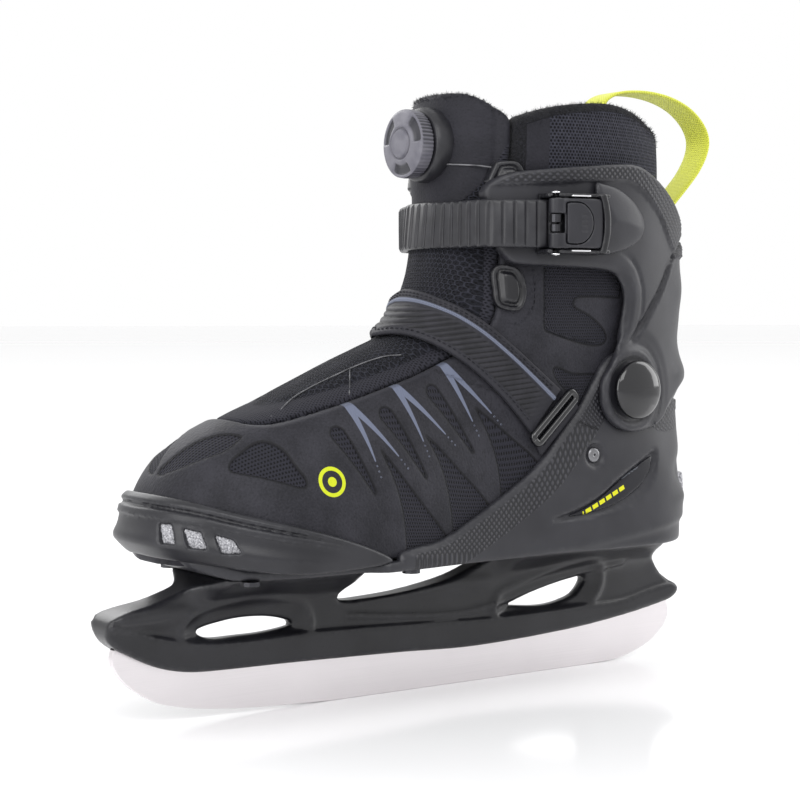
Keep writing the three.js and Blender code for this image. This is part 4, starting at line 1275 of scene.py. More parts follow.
# ---------------------------------------------------------------- cuff
cuff_side = outline([
    (-13.5, 224), (-17, 229.5), (-24, 232.6), (-36, 234.2), (-54, 236), (-77, 238), (-88, 238), (-97, 235.2),
    (-109, 229.5), (-121, 222.6), (-133, 215.4), (-146, 209.5), (-166, 203.5), (-166, 203.5), (-166, 137.5), (-166, 137.5),
    (-150, 137), (-135, 133.2), (-122, 126), (-110.5, 119.6), (-100, 116.6), (-88, 116.2), (-78.5, 120.2),
    (-72.8, 127), (-71.4, 135), (-72.5, 141), (-77.6, 148), (-82.2, 156.5), (-85, 166), (-87, 176), (-85.6, 182.5),
    (-81, 187.8), (-74, 190), (-60, 191), (-40, 191.8), (-26.5, 192.6), (-22, 195), (-18.8, 200.6), (-16.6, 211.5),
    (-14.8, 219),
])
ledge = track([(-10, 226), (-40, 227.6), (-68, 229.6), (-84, 229.5), (-96, 224), (-108, 214.5), (-116, 205.5), (-124, 198)], margin=30)
groove_line = track([(-142, 208), (-131, 203), (-119.7, 194), (-111.6, 182.5), (-97, 165.5), (-86, 153.5), (-78, 146)], margin=30)
teardrop = outline([
    (-58, 198), (-60, 228), (-68, 228.6), (-78, 225.8), (-88, 219.4), (-93.5, 211.2), (-91, 204.4), (-80, 199), (-68, 197),
])


def cuff_relief(x, z):
    edge = -cuff_side(x, z)
    px, pz = x - PIVOT[0], z - PIVOT[1]
    boss = np.hypot(px, pz)
    ledge_d, ledge_run = ledge[0](x, z), ledge[1](x, z)
    line = profile([(-125, 197), (-116, 205.5), (-108, 214.5), (-96, 224), (-84, 229.5), (-68, 229.6), (-40, 227.6), (-10, 226)])
    over_ledge = step_up((z - line(x)) / 0.9) * step_up((x + 160) / 4)
    band = 1.1 * over_ledge
    back_line = profile([(-142, 208), (-131, 203), (-119.7, 194), (-111.6, 182.5), (-97, 165.5), (-86, 153.5), (-70, 137)])
    behind = step_up((back_line(x) - z) / 3.5) * step_up((boss - 24) / 5)
    groove = -1.9 * bell(groove_line[0](x, z), 0, 1.3) * step_up((boss - 21) / 3)
    window = -2.2 * step_up((4.6 - edge) / 4.2) * step_up((196 - z) / 10) * step_up((boss - 24) / 8) * (z < 200)
    contour = -0.7 * np.exp(-(((edge - 10.0) / 0.9) ** 2)) * step_up((200 - z) / 4) * step_up((z - 158) / 8) * (x > -112)
    ring = 0.9 * step_up((boss - 15.2) / 0.9) * step_up((19.6 - boss) / 1.4) - 2.6 * step_up((15.0 - boss) / 0.9)
    bridge = -0.7 * np.exp(-(((boss - 21.5) / 1.2) ** 2))
    spine = step_up((-118 - x) / 16) * (1.2 * bell(z, 182, 9) - 0.8 * bell(z, 158, 7) + 1.7 * bell(z, 143, 6))
    ridges = 0.3 * np.sin((z + 0.5 * x) * 2 * np.pi / 2.7) * over_ledge * step_up((-126 - x) / 8)
    return band + 0.7 * behind + groove + window + contour + ring + bridge + spine + ridges


def cuff_field(x, y, z):
    high = step_up((z - 154) / 8)
    out = form(x, y, z, 9.0 + np.maximum(cuff_relief(x, z), -1.3 - 0.6 * high))
    inn = form(x, y, z, 6.1 - 1.5 * high)
    body = both(both(out, cuff_side(x, z), 1.5), -inn, 0.8)
    post = np.hypot(x - PIVOT[0], z - PIVOT[1]) - 6.9
    body = both(body, np.minimum(x + 25.5, 60.0) * (y < 0) - 60.0 * (y >= 0), 1.5)
    return both(body, -post, 0.4)


def add_cuff(material):
    points, faces = mesh_field(cuff_field, (-160, -58, 112), (-10, 58, 242), 1.25)
    x, y, z = points.T
    edge = -cuff_side(x, z)
    line = profile([(-125, 197), (-116, 205.5), (-108, 214.5), (-96, 224), (-84, 229.5), (-68, 229.6), (-40, 227.6), (-10, 226)])
    carbon = np.maximum(np.maximum(line(x) + 1.4 - z, 7.6 - form(x, y, z)), 1.3 - edge)
    marks = {"flat": body_uv(points), "carbon": carbon, "worn": edge_wear(points, faces)}
    return build("cuff_shell", points, faces, material, "cuff", ["cuff"], marks)


# ---------------------------------------------------------------- holder and runner
holder_foot = [
    (154.8, 35.2), (147.7, 30.9), (134.3, 24.5), (120.5, 21.2), (105, 20.3), (72.5, 19.8), (13.5, 18.3),
    (-29.2, 16.8), (-87, 19.2), (-123.9, 23.1), (-149.5, 27.5), (-154.6, 29.5),
]
holder_side = outline([
    *holder_foot, (-157.2, 32.6), (-156, 35.2), (-151, 38.4), (-145.6, 42.2), (-139.8, 49), (-137, 56), (-136.4, 66),
    (-136.4, 66), (-44, 66), (-44, 66), (-43, 61), (-39, 58), (-30, 54.3), (-13.6, 49.1), (7.7, 45.7), (30, 44.2),
    (42, 44.3), (46.2, 46.2), (44, 50), (40, 54), (39, 66), (39, 66), (109, 66), (109, 66), (112.5, 61),
    (117.1, 58.3), (135.7, 51.8), (152.6, 48.4), (157.6, 45.4), (158.2, 40),
])
holder_windows = [
    outline([(114.6, 36.3), (102.8, 40.6), (84, 41), (69.7, 37.8), (68.7, 35.3), (93.2, 33.6)]),
    outline([(-49, 33.6), (-49, 33.6), (-67.4, 39.1), (-90, 43.4), (-97.8, 43), (-96, 38.5), (-90, 34.4), (-73.4, 31.6)]),
]
rail_top = profile([
    (-158, 36), (-140, 33.5), (-120, 29.6), (-100, 29), (-70, 28.6), (-40, 28.2), (0, 29.6), (40, 31), (66, 31.5),
    (95, 31.2), (120, 33), (140, 38), (158, 44),
])
flare = profile([(15, 0.0), (40, 0.0), (46, 0.05), (50, 0.18), (54, 0.45), (58, 0.8), (61.2, 1.0), (66, 1.0)])


def holder_half(x, z):
    """Half the holder's width."""
    front = step_up((x - 30) / 16) * step_up((124 - x) / 14)
    rear = step_up((-34 - x) / 16) * step_up((x + 146) / 12)
    pad = 7 + 19.5 * front + 14.5 * rear
    prow = step_up((x - 104) / 40) * step_up((z - 38) / 8)
    spine = 4.9 + 1.6 * np.exp(-(((z - 47) / 4.0) ** 2)) * (1 - front) * (1 - rear)
    rail = 6.5 - 1.5 * step_up((z - rail_top(x)) / 2.2)
    half = np.maximum(np.where(z < rail_top(x) + 2.2, rail, spine), 4.9)
    half = half + (pad - half) * flare(z - 3.0 * prow) + 3.5 * prow
    near = np.minimum(holder_windows[0](x, z), holder_windows[1](x, z))
    scoop = -1.5 * step_up((7 - near) / 7) + 1.1 * np.exp(-(((near - 8.5) / 2.0) ** 2))
    fin = 1.0 * np.exp(-((fin_line[0](x, z) / 1.6) ** 2))
    return half + scoop * step_up((z - rail_top(x)) / 3) * (1 - flare(z)) + fin


fin_line = track([(-118, 49), (-100, 46.8), (-80, 43.6), (-62, 39.8), (-44, 35.6), (-20, 33.0), (10, 34.5), (40, 37.5)], margin=20)


def holder_field(x, y, z):
    body = both(np.abs(y) - holder_half(x, z), holder_side(x, z), 2.2)
    body = both(body, z - 61.2, 0.4)
    hole = np.minimum(holder_windows[0](x, z), holder_windows[1](x, z))
    body = both(body, -hole, 1.8)
    slot = np.maximum(both(np.abs(y) - 2.0, np.maximum(-z + 10, z - slot_top(x))), x - 152.5)
    return both(body, -slot, 0.4)


slot_top = profile([(x, z + 6.3) for x, z in reversed(holder_foot)])


def add_holder(material):
    points, faces = mesh_field(holder_field, (-161, -31, 13), (162, 31, 63), 1.25)
    marks = {"worn": edge_wear(points, faces)}
    return build("holder", points, faces, material, "boot", ["blade_holder"], marks)


def prism(loop, profile_pairs, place):
    """A flat part with shaped edges: (inset, height) pairs run from the back face to the front face."""
    loop = np.asarray(loop, float)
    ahead, behind = np.roll(loop, -1, 0) - loop, loop - np.roll(loop, 1, 0)
    ahead /= np.maximum(np.linalg.norm(ahead, axis=1, keepdims=True), 1e-9)
    behind /= np.maximum(np.linalg.norm(behind, axis=1, keepdims=True), 1e-9)
    tangent = ahead + behind
    tangent /= np.maximum(np.linalg.norm(tangent, axis=1, keepdims=True), 1e-9)
    area = (loop[:, 0] * np.roll(loop[:, 1], -1) - np.roll(loop[:, 0], -1) * loop[:, 1]).sum()
    inward = np.stack([-tangent[:, 1], tangent[:, 0]], 1) * (1 if area > 0 else -1)
    rings = []
    for inset, height in profile_pairs:
        flat = loop + inward * inset
        rings.append(place(flat[:, 0], flat[:, 1], np.full(len(loop), float(height))))
    points = np.stack(rings, 1).reshape(-1, 3)
    faces = grid_faces(len(loop), len(rings), around=True, ends=True)
    return points, faces


RUNNER = [
    (153.6, 28.4), (150.1, 21.5), (143, 15), (132.2, 8.8), (118.3, 5.3), (104, 3.3), (90, 2), (70, 0.9), (48, 0.02),
    (48, 0.02), (20, 0.0), (-50, 0.0), (-100, 0.02), (-100, 0.02), (-121.5, 1), (-140.7, 6.6), (-151, 14),
    (-154.2, 20.2), (-153.4, 26), (-153.4, 26),
]


def add_runner(material):
    top = [(x, z + 5.4) for x, z in reversed(holder_foot[1:-1])]
    loop = smooth_loop([*RUNNER, top[0], *top, top[-1], (153, 33.2), (153, 33.2)], 6)
    edges = [(0.35, -1.75), (0.08, -1.62), (0, -1.35), (0, 1.35), (0.08, 1.62), (0.35, 1.75)]
    points, faces = prism(loop, edges, lambda a, b, h: np.stack([a, h, b], 1))
    return build("runner", points, faces, material, "boot", ["blade_runner"], sharp=35)


# ---------------------------------------------------------------- straps
STRAP_TOP = [
    (5.6, -3.6, 182.4), (5.3, 9.8, 180.9), (1.7, 20.0, 177.7), (-5.5, 28.8, 172.8), (-14.7, 34.9, 165.8),
    (-25.6, 39.0, 156.5), (-38.0, 41.3, 146.2), (-50.5, 42.4, 136.4),
]
STRAP_LOW = [
    (22.9, -3.6, 162.6), (20.2, 7.5, 163.6), (14.9, 16.6, 161.9), (6.2, 26.2, 156.6), (-5.1, 33.1, 147.8),
    (-18.2, 37.7, 135.8), (-27.8, 39.9, 125.4), (-34.7, 41.1, 117.2),
]


def both_sides(points):
    """A line over the instep: the outer side's points, with their mirror on the inner side before them."""
    p = np.array(points, float)
    mirror = p[:0:-1] * (1, -1, 1) - (0, 7.2, 0) * np.linspace(0, 1, len(p) - 1)[::-1, None]
    return smooth_loop(np.concatenate([mirror, p]), 8, closed=False)


def add_power_strap(material):
    """The instep strap, laid as a grid along its own length so that its ribs, piping and borders follow it."""
    top, low = both_sides(STRAP_TOP), both_sides(STRAP_LOW)
    pick = lambda line, n: resample(line, 0.01)[np.linspace(0, len(resample(line, 0.01)) - 1, n).astype(int)]
    rows, columns = 380, 54
    a, b = pick(top, rows), pick(low, rows)
    t = np.linspace(0, 1, columns)
    flat = a[:, None] * (1 - t[:, None]) + b[:, None] * t[:, None]
    across = np.broadcast_to(t, (rows, columns))
    flat = flat.reshape(-1, 3)
    t = across.ravel()
    flat = on_form(flat, 4.8)
    slant = flat[:, 2] + 0.12 * flat[:, 0]
    ribbed = step_up((t - 0.31) / 0.02) * step_up((0.85 - t) / 0.02)
    piping = step_up((t - 0.17) / 0.012) * step_up((0.265 - t) / 0.012)
    near = np.arange(rows)[:, None].repeat(columns, 1).ravel() / (rows - 1)
    ends = step_up(near / 0.06) * step_up((1 - near) / 0.06)
    ribbed = ribbed * ends
    wave = np.abs(np.sin(slant * math.pi / 2.3)) ** 0.7
    roll = -0.9 * np.clip(1 - t / 0.035, 0, 1) ** 2 - 0.9 * np.clip(1 - (1 - t) / 0.035, 0, 1) ** 2
    lift = 5.0 + ribbed * (0.8 * wave - 0.3) + 0.55 * piping + roll
    normal = surface_normal(flat, 5.0)
    outer = on_form(flat, 5.0) + normal * (lift - 5.0)[:, None]
    inner = on_form(flat, 3.4)
    count = rows * columns
    faces = grid_faces(rows, columns)
    back = [[i + count for i in reversed(f)] for f in faces]
    rim = []
    for r in range(rows - 1):
        i, j = r * columns, (r + 1) * columns
        rim.append([j, i, i + count, j + count])
        i, j = i + columns - 1, j + columns - 1
        rim.append([i, j, j + count, i + count])
    for c in range(columns - 1):
        rim.append([c, c + 1, c + 1 + count, c + count])
        i = (rows - 1) * columns + c
        rim.append([i + 1, i, i + count, i + 1 + count])
    run = near * 200
    # painted_valley_shade marks the hollows between the ribs, which the strap material darkens as painted shade
    marks = {
        "rib": np.tile(ribbed, 2), "piping": np.tile(piping, 2), "painted_valley_shade": np.tile(ribbed * (1 - wave), 2),
        "flat": np.tile(np.stack([run, t * 26, 0 * t], 1), (2, 1)),
    }
    strap = build("power_strap_fabric", np.concatenate([outer, inner]), faces + back + rim, material, "boot",
                  ["power_strap"], marks)
    seams = []
    for share in (0.085, 0.135, 0.885):
        column = int(share * columns)
        line = outer.reshape(rows, columns, 3)[6:-6, column]
        seams.append(stitches(line, 1.7, 0.9, 0.24, 0.15))
    return strap, seams


RATCHET_Z = (199.5, 220.5)


def ratchet_radius(turn, z, overhang):
    """Distance from the leg's middle line to the strap's inner face, in the direction turn."""
    near, far = np.zeros(turn.shape), np.full(turn.shape, 120.0)
    cx = -70.0
    for _ in range(26):
        mid = (near + far) / 2
        x, y = cx + mid * np.cos(turn), mid * np.sin(turn)
        rise = 2 + np.where(y > 0, overhang[0] * step_up((-x - 6) / 8), overhang[1] * step_up((-x - 11) / 12))
        inside = form(x, y, z, rise) < 0
        near, far = np.where(inside, mid, near), np.where(inside, far, mid)
    return near


def add_ratchet(material):
    """The toothed strap: a section of rounded corners swept round the shin, with a tooth every 5 mm."""
    turns = np.linspace(math.radians(-64), math.radians(78.5), 620)
    sections = []
    for z in RATCHET_Z:
        r = ratchet_radius(turns, np.full(turns.shape, z), (10.6, 8.4))
        sections.append(np.stack([-70 + r * np.cos(turns), r * np.sin(turns), np.full(turns.shape, z)], 1))
    middle = (sections[0] + sections[1]) / 2
    run = np.concatenate([[0], np.cumsum(np.linalg.norm(np.diff(middle, axis=0), axis=1))])
    keep = np.where(middle[:, 1] > 0, middle[:, 0] > -58.5, middle[:, 0] > -44)
    low, high, run = sections[0][keep], sections[1][keep], run[keep]
    tangent = np.gradient((low + high) / 2, axis=0)
    tangent /= np.linalg.norm(tangent, axis=1, keepdims=True)
    normal = np.cross(tangent, (0, 0, 1.0))
    phase = (run % 5.0) / 5.0
    tooth = np.where(phase < 0.78, 0.55 + 0.55 * (phase / 0.78), 0.0)
    tooth = np.convolve(np.pad(tooth, 2, mode="edge"), [0.1, 0.2, 0.4, 0.2, 0.1], "valid")
    edge = np.array([
        (0.02, 0.0, 0), (0.0, 0.5, 0), (0.0, 1.7, 0), (0.02, 2.3, 0.1), (0.05, 2.45, 0.4), (0.09, 2.45, 1), (0.5, 2.5, 1),
        (0.91, 2.45, 1), (0.95, 2.45, 0.4), (0.98, 2.3, 0.1), (1.0, 1.7, 0), (1.0, 0.5, 0), (0.98, 0.0, 0), (0.5, 0.0, 0),
    ])
    rings = []
    for share, height, toothed in edge:
        base = low * (1 - share) + high * share
        rings.append(base + normal * (height + toothed * (tooth[:, None] - 0.4)))
    points = np.stack(rings, 0).reshape(-1, 3)
    faces = grid_faces(len(rings), len(low), around=True, ends=True)
    return build("ratchet_teeth", points, faces, material, "cuff", ["ratchet_strap"], sharp=40)


# ---------------------------------------------------------------- buckle
BUCKLE_AT, BUCKLE_TURN = (-46.0, 48.8, 210.0), math.radians(-12.5)


def to_buckle(x, y, z):
    """Frame coordinates in the buckle's own axes: toward the toe, off the cuff, up."""
    c, s = math.cos(BUCKLE_TURN), math.sin(BUCKLE_TURN)
    dx, dy = x - BUCKLE_AT[0], y - BUCKLE_AT[1]
    return c * dx + s * dy, -s * dx + c * dy, z - BUCKLE_AT[2]


def from_buckle(points):
    c, s = math.cos(BUCKLE_TURN), math.sin(BUCKLE_TURN)
    a, b, h = np.asarray(points, float).T
    return np.stack([c * a - s * b + BUCKLE_AT[0], s * a + c * b + BUCKLE_AT[1], h + BUCKLE_AT[2]], 1)


def slab(a, low, high):
    return np.maximum(low - a, a - high)


def rounded_box(ax, ay, az, centre, half, radius):
    q = [np.abs(v - c) - h + radius for v, c, h in zip((ax, ay, az), centre, half)]
    outside = np.sqrt(sum(np.maximum(v, 0) ** 2 for v in q))
    return outside + np.minimum(np.maximum(np.maximum(q[0], q[1]), q[2]), 0) - radius


def lever_arch(a):
    """Height of the lever's face along its length; it bows over the strap."""
    return 12.6 - 0.012 * (a + 3) ** 2


def buckle_base_field(x, y, z):
    a, b, h = to_buckle(x, y, z)
    wall_top = 10.4 - 0.02 * (a - 2) ** 2 * (a > 2)
    walls = both(both(slab(np.abs(h), 11.3, 13.2), slab(a, -17.5, 12.5)), slab(b, -3.0, wall_top), 1.0)
    back_edge = -13.6 + 2.4 * (h / 13) ** 2
    bezel = both(both(slab(a, back_edge - 3.4, back_edge), np.abs(h) - 13.2), slab(b, -4.0, 12.2), 1.2)
    floor = both(both(form(x, y, z, 11.4), np.abs(h) - 13.2, 0.5), slab(a, -18, 13.0), 0.5)
    body = union(union(walls, bezel, 0.8), floor, 0.6)
    pin = np.hypot(a - 9, b - 8.2) - 1.35
    return both(both(body, -form(x, y, z, 9.75)), -pin)


def hump_field(x, y, z):
    """The raised cover behind the buckle, over its anchor."""
    a, _, _ = to_buckle(x, y, z)
    inside = -teardrop(x, z)
    swell = form(x, y, z, 10.6 + 4.2 * np.sqrt(np.clip(inside / 14, 0, 1)))
    return both(both(both(swell, -inside, 1.2), a + 16.0, 1.6), -form(x, y, z, 9.75))


def button_outline(a, h, grow=0.0):
    """The D-shaped release pad: straight toward the strap, round toward the back."""
    return both(both(np.hypot(a - 1.6, h) - 9.3 - grow, a - 5.0 - grow, 0.6), np.abs(h) - 9.0 - grow, 0.6)


def lever_field(x, y, z):
    a, b, h = to_buckle(x, y, z)
    plate = both(both(slab(a, -12.4 - 1.0 * (1 - (h / 11) ** 2), 6.2), np.abs(h) - 10.9, 1.8), b - lever_arch(a), 1.2)
    plate = both(plate, 9.6 - b, 0.6)
    knuckle = both(np.hypot(a - 9, b - 8.2) - 2.85, np.abs(h) - 10.9, 0.5)
    web = both(both(slab(a, 4.6, 9.6), slab(b, 9.4, 11.1)), np.abs(h) - 10.9, 0.5)
    body = union(plate, union(knuckle, web, 0.5), 0.8)
    body = both(body, -np.maximum(button_outline(a, h, 0.4), 10.35 - b), 0.3)
    middle = both(slab(a, 5.2, 13), np.abs(h) - 4.3)
    body = both(body, -both(middle, slab(b, 4, 11.3)), 0.3)
    return both(body, -(np.hypot(a - 9, b - 8.2) - 1.35))


def button_field(x, y, z):
    a, b, h = to_buckle(x, y, z)
    grip = 0.22 * step_up((np.abs(h) - 0.0) / 0.1) * np.sin(h * math.pi / 1.1) * (np.abs(h) < 4.6) * (slab(a, -4.4, -1.6) < 0)
    return both(both(button_outline(a, h), b - lever_arch(a) - 0.35 - grip, 0.7), 11.5 - b, 0.2)


def add_buckle(base_paint, lever_paint, chrome):
    points, faces = mesh_field(buckle_base_field, (-96, 38, 194), (-30, 66, 231), 0.85)
    build("buckle_frame", points, faces, base_paint, "cuff", ["buckle_base"],
          wear_marks(points, faces))
    points, faces = mesh_field(hump_field, (-98, 36, 194), (-56, 66, 232), 0.95)
    build("buckle_cover", points, faces, lever_paint, "cuff", ["buckle_base"],
          wear_marks(points, faces))
    points, faces = mesh_field(lever_field, (-62, 50, 197), (-31, 66, 223), 0.62)
    build("buckle_lever_plate", points, faces, lever_paint, "buckle_lever",
          ["buckle_lever"], wear_marks(points, faces))
    points, faces = mesh_field(button_field, (-58, 54, 200), (-38, 66, 220), 0.45)
    build("buckle_button", points, faces, lever_paint, "release_button",
          ["release_button"], wear_marks(points, faces))
    parts = []
    for h in (-13.75, 13.75):
        side = 1 if h > 0 else -1
        loop = np.array([(9 + 2.1 * math.cos(t), 8.2 + 2.1 * math.sin(t)) for t in np.linspace(0, 2 * math.pi, 20, endpoint=False)])
        heads = [(1.3, 13.0 * side), (0.0, 13.25 * side), (0.0, 13.6 * side), (0.5, 14.0 * side), (1.3, 14.15 * side)]
        p, f = prism(loop, heads, lambda a, b, c: np.stack([a, b, c], 1))
        parts.append((from_buckle(p), f))
    for side in (1, -1):
        line = from_buckle([(-6.5, 11.6, side * 12.0), (-2, 11.8, side * 12.0), (2.5, 11.6, side * 12.0)])
        parts.append(tube_mesh(resample(smooth_loop(line, 6, False), 0.6), 0.42, 8))
    points, faces = join_meshes(parts)
    return build("buckle_rivets", points, faces, chrome, "cuff", ["lever_pin"])


# ---------------------------------------------------------------- dial
DIAL_Z = 246.5


def on_dial(points):
    """(out along X, across, up) round the dial's axis, into the frame."""
    p = np.asarray(points, float)
    return np.stack([p[:, 0], p[:, 1], p[:, 2] + DIAL_Z], 1)


def lathe(pairs, count, shape=None):
    """(along X, radius) pairs turned about the dial's axis."""
    turn = 2 * np.pi * np.arange(count) / count
    rings = []
    for along, radius in pairs:
        r = np.full(count, float(radius))
        if shape is not None:
            r = shape(along, r, turn)
        rings.append(np.stack([np.full(count, float(along)), r * np.cos(turn), r * np.sin(turn)], 1))
    points = np.stack(rings, 1).reshape(-1, 3)
    return on_dial(points), grid_faces(count, len(pairs), around=True, ends=True)


def knob_height(y, z):
    """The knob's face: a dished disc with a plain round centre and three finger scoops."""
    r = np.hypot(y, z)
    turn = np.arctan2(z, y)
    dome = 9.8 - 0.006 * r**2
    centre = 0.4 * step_up((6.6 - r) / 0.6) - 0.8 * bell(r, 6.9, 0.5)
    lobe = -1.6 * step_up((r - 8.0) / 3.0) * step_up((15.0 - r) / 2.0) * step_up((np.cos(3 * (turn - math.radians(30))) + 0.1) / 0.4)
    rim = -0.7 * step_up((r - 13.4) / 1.8) ** 2
    return dome + centre + lobe + rim


def add_dial(knob_paint, base_paint, steel):
    rings, count = 40, 192
    turn = 2 * np.pi * np.arange(count) / count
    # painted_shade_depth holds, point by point, how deep each place lies in a scoop, a tooth groove or the underside,
    # for the knob's painted shade
    points, painted_shade_depth = [], []
    for i in range(rings):
        r = 15.2 * (i + 0.4) / (rings - 0.6)
        y, z = r * np.cos(turn), r * np.sin(turn)
        height = knob_height(y, z)
        points.append(np.stack([height, y, z], 1))
        painted_shade_depth.append(np.clip((9.5 - 0.006 * r**2 - height) / 1.1, 0, 1) * (r < 13.8))
    lobes = 0.5 + 0.5 * np.cos(3 * (turn - math.radians(30)))
    teeth = np.abs(np.sin(turn * 27)) * 0.55 * (0.35 + 0.65 * lobes)
    for x, r in ((7.0, 15.45), (6.2, 15.5), (4.5, 15.45), (2.6, 15.3), (1.4, 15.0), (0.85, 14.2)):
        points.append(np.stack([np.full(count, x), (r - teeth) * np.cos(turn), (r - teeth) * np.sin(turn)], 1))
        painted_shade_depth.append(teeth / 0.55)
    points.append(np.stack([np.full(count, 0.85), 6.0 * np.cos(turn), 6.0 * np.sin(turn)], 1))
    painted_shade_depth.append(np.ones(count))
    grid = np.stack(points, 1).reshape(-1, 3)
    faces = grid_faces(count, len(points), around=True, ends=True)
    faces = [f[::-1] for f in faces]
    build("dial_grip", on_dial(grid), faces, knob_paint, "dial_knob", ["dial_knob"],
          {"painted_shade_depth": np.stack(painted_shade_depth, 1).ravel()}, sharp=38)
    housing = [
        (-16, 14.0), (-12, 15.6), (-8, 16.6), (-4, 16.95), (-2, 16.9), (-0.9, 16.5), (-0.2, 15.9), (0.25, 14.9),
        (0.3, 12.5), (-0.2, 11.0), (-4.6, 10.2), (-4.7, 3.0),
    ]
    p, f = lathe(housing, 96, lambda a, r, t: r - 0.35 * (np.abs(np.sin(t * 24)) > 0.55) * (-3.5 < a < -0.5))
    build("dial_housing", p, [q[::-1] for q in f], base_paint, "cuff", ["dial_base"], sharp=38)
    p, f = lathe([(-0.6, 3.2), (-0.5, 4.6), (0.0, 5.0), (3.0, 5.0), (3.5, 4.6), (3.6, 3.2)], 36, lambda a, r, t: r - 0.3 * (np.cos(6 * t) > 0.3))
    build("dial_axle", p, f, steel, "dial_hub", ["dial_hub"], sharp=38)
    p, f = lathe([(-4.2, 4.0), (-4.2, 9.3), (-3.7, 9.5), (-3.4, 8.0), (-1.8, 8.0), (-1.5, 9.5), (-1.0, 9.3), (-1.0, 4.0)], 48)
    build("dial_drum", p, f, base_paint, "dial_spool", ["dial_spool"], sharp=38)


# ---------------------------------------------------------------- guides, laces, ring and tab
def guide_field(region, low, high):
    """A moulded guide on the flank, with a channel for the lace."""
    def field(x, y, z):
        d = region(x, z)
        out = form(x, y, z, high - 1.2 * np.exp(-(((d + 2.6) / 0.8) ** 2)) + 0.9 * step_up((-d - 3.2) / 1.5))
        return both(both(out, d, 1.0), -form(x, y, z, low), 0.5)
    return field


def halves(points, faces, side):
    keep = side * points[:, 1] > 0
    index = np.cumsum(keep) - 1
    return points[keep], [index[f] for f in faces if keep[f].all()]


def add_guides(material, steel):
    ankle = outline([(-19.6, 174.2), (-24.2, 172), (-29.6, 172.2), (-32.4, 176.5), (-33, 182), (-30.6, 189.4), (-26, 192), (-19.6, 191), (-18.6, 181)])
    upper = outline([(-16.4, 228.6), (-16.4, 228.6), (-25, 226.4), (-30.4, 228), (-30.6, 233), (-27.4, 237.6), (-19.6, 237.6), (-19.6, 237.6)])
    for label, region, low, high, box in (
        ("ankle", ankle, 1.9, 4.6, ((-36, -46, 164), (-15, 46, 196))),
        ("upper", upper, 2.2, 5.6, ((-34, -46, 223), (-13, 46, 241))),
    ):
        points, faces = mesh_field(guide_field(region, low, high), *box, 0.8)
        for name, side in (("outer", 1), ("inner", -1)):
            p, f = halves(points, faces, side)
            build(f"{label}_lace_guide_{name}", p, f, material, "cuff",
                  [f"{label}_guide_{name}"], {"worn": edge_wear(p, f)})


def instep_point(x, y, grow):
    """The point above (x, y) on the grown form."""
    near, far = 0.0, 120.0
    for _ in range(26):
        mid = (near + far) / 2
        inside = form(np.array([x]), np.array([y]), np.array([75.0 + mid]), grow)[0] < 0
        near, far = (mid, far) if inside else (near, mid)
    return (x, y, 75.0 + near)


def add_laces(material):
    """Steel-cored lace lying over the tongue, and its two runs from the dial to the upper guides."""
    outer = [(90, 13.5), (70, 10.5), (46, 12.5), (30, 15), (21, 18)]
    inner = [(x, -y - 5) for x, y in outer]
    under = lambda pairs: [instep_point(x, y, 2.9) for x, y in pairs]
    line = smooth_loop([*under(inner[::-1]), instep_point(94, -2, 2.9), *under(outer)], 8, False)
    line = resample(line, 1.0)
    sunk = 4.5 * step_up((line[:, 0] - 86) / 5) + 0.9 * step_up((-2 - line[:, 1]) / 4)
    line = on_form(line, tongue_lift(line[:, 0], line[:, 2]) + 0.15 - sunk)
    parts = [tube_mesh(line, 0.32, 8)]
    short = resample([instep_point(45, 13.0, 2.9), instep_point(52, 24.0, 2.7)], 1.0)
    parts.append(tube_mesh(on_form(short, tongue_lift(short[:, 0], short[:, 2]) + 0.3), 0.32, 8))
    p, f = join_meshes(parts)
    build("lace_line", p, f, material, "boot", ["lace_cable"])
    for name, side in (("outer", 1), ("inner", -1)):
        at = np.array([(-6.5, 13.0 * side, 237.2), (-9, 21 * side, 236.6), (-13, 28 * side, 236.0), (-18, 33.0 * side, 235.0)])
        run = resample(smooth_loop(at, 8, False), 1.0)
        run = on_form(run, 3.0)
        p, f = tube_mesh(run, 0.4, 8)
        build(f"dial_lace_{name}", p, f, material, "cuff", [f"dial_cable_{name}"])


def add_ring(ring_and_shadow_paint, tab_paint):
    turn = math.radians(-43)
    half_long, half_wide, bend = 15.0, 2.3, 1.6
    loop = []
    for cx, cz, start in ((1, 1, 0), (-1, 1, 90), (-1, -1, 180), (1, -1, 270)):
        for step in np.linspace(0, 90, 6):
            t = math.radians(start + step)
            loop.append((cx * (half_long - bend) + bend * math.cos(t), cz * (half_wide - bend) + bend * math.sin(t)))
    loop = np.array(loop + loop[:2])
    c, s = math.cos(turn), math.sin(turn)
    x, z = c * loop[:, 0] - s * loop[:, 1], s * loop[:, 0] + c * loop[:, 1]
    flat = np.stack([x * 1.0 - 46.3, np.full(len(x), 45.0), z + 123.9], 1)
    lifted = np.array([project_y(p[None], 5.6, 1)[0] for p in flat])
    lifted[:, 1] = 0.5 * lifted[:, 1] + 0.5 * lifted[:, 1].mean() + 0.4
    # The ring is a real part, drawn here as a thick tube that nearly fills its own opening and painted near-black
    # gloss: partly the ring, partly painted shadow standing in for the dark band between the strap end and the tab
    p, f = tube_mesh(resample(lifted, 0.6), 1.75, 14)
    build("strap_loop", p, f, ring_and_shadow_paint, "boot", ["strap_ring"])
    region = outline([(-58, 133.4), (-58, 133.4), (-46.5, 123.4), (-37, 114.0), (-37, 114.0), (-41, 106.4), (-41, 106.4), (-51, 116), (-63.5, 127.5), (-63.5, 127.5)])
    field = lambda x, y, z: both(both(form(x, y, z, 3.3), region(x, z), 1.0), -form(x, y, z, 1.6), 0.4)
    points, faces = mesh_field(field, (-66, 30, 103), (-34, 52, 137), 0.9)
    marks = {"flat": body_uv(points)}
    build("strap_tab", points, faces, tab_paint, "boot", ["ring_tab"], marks)


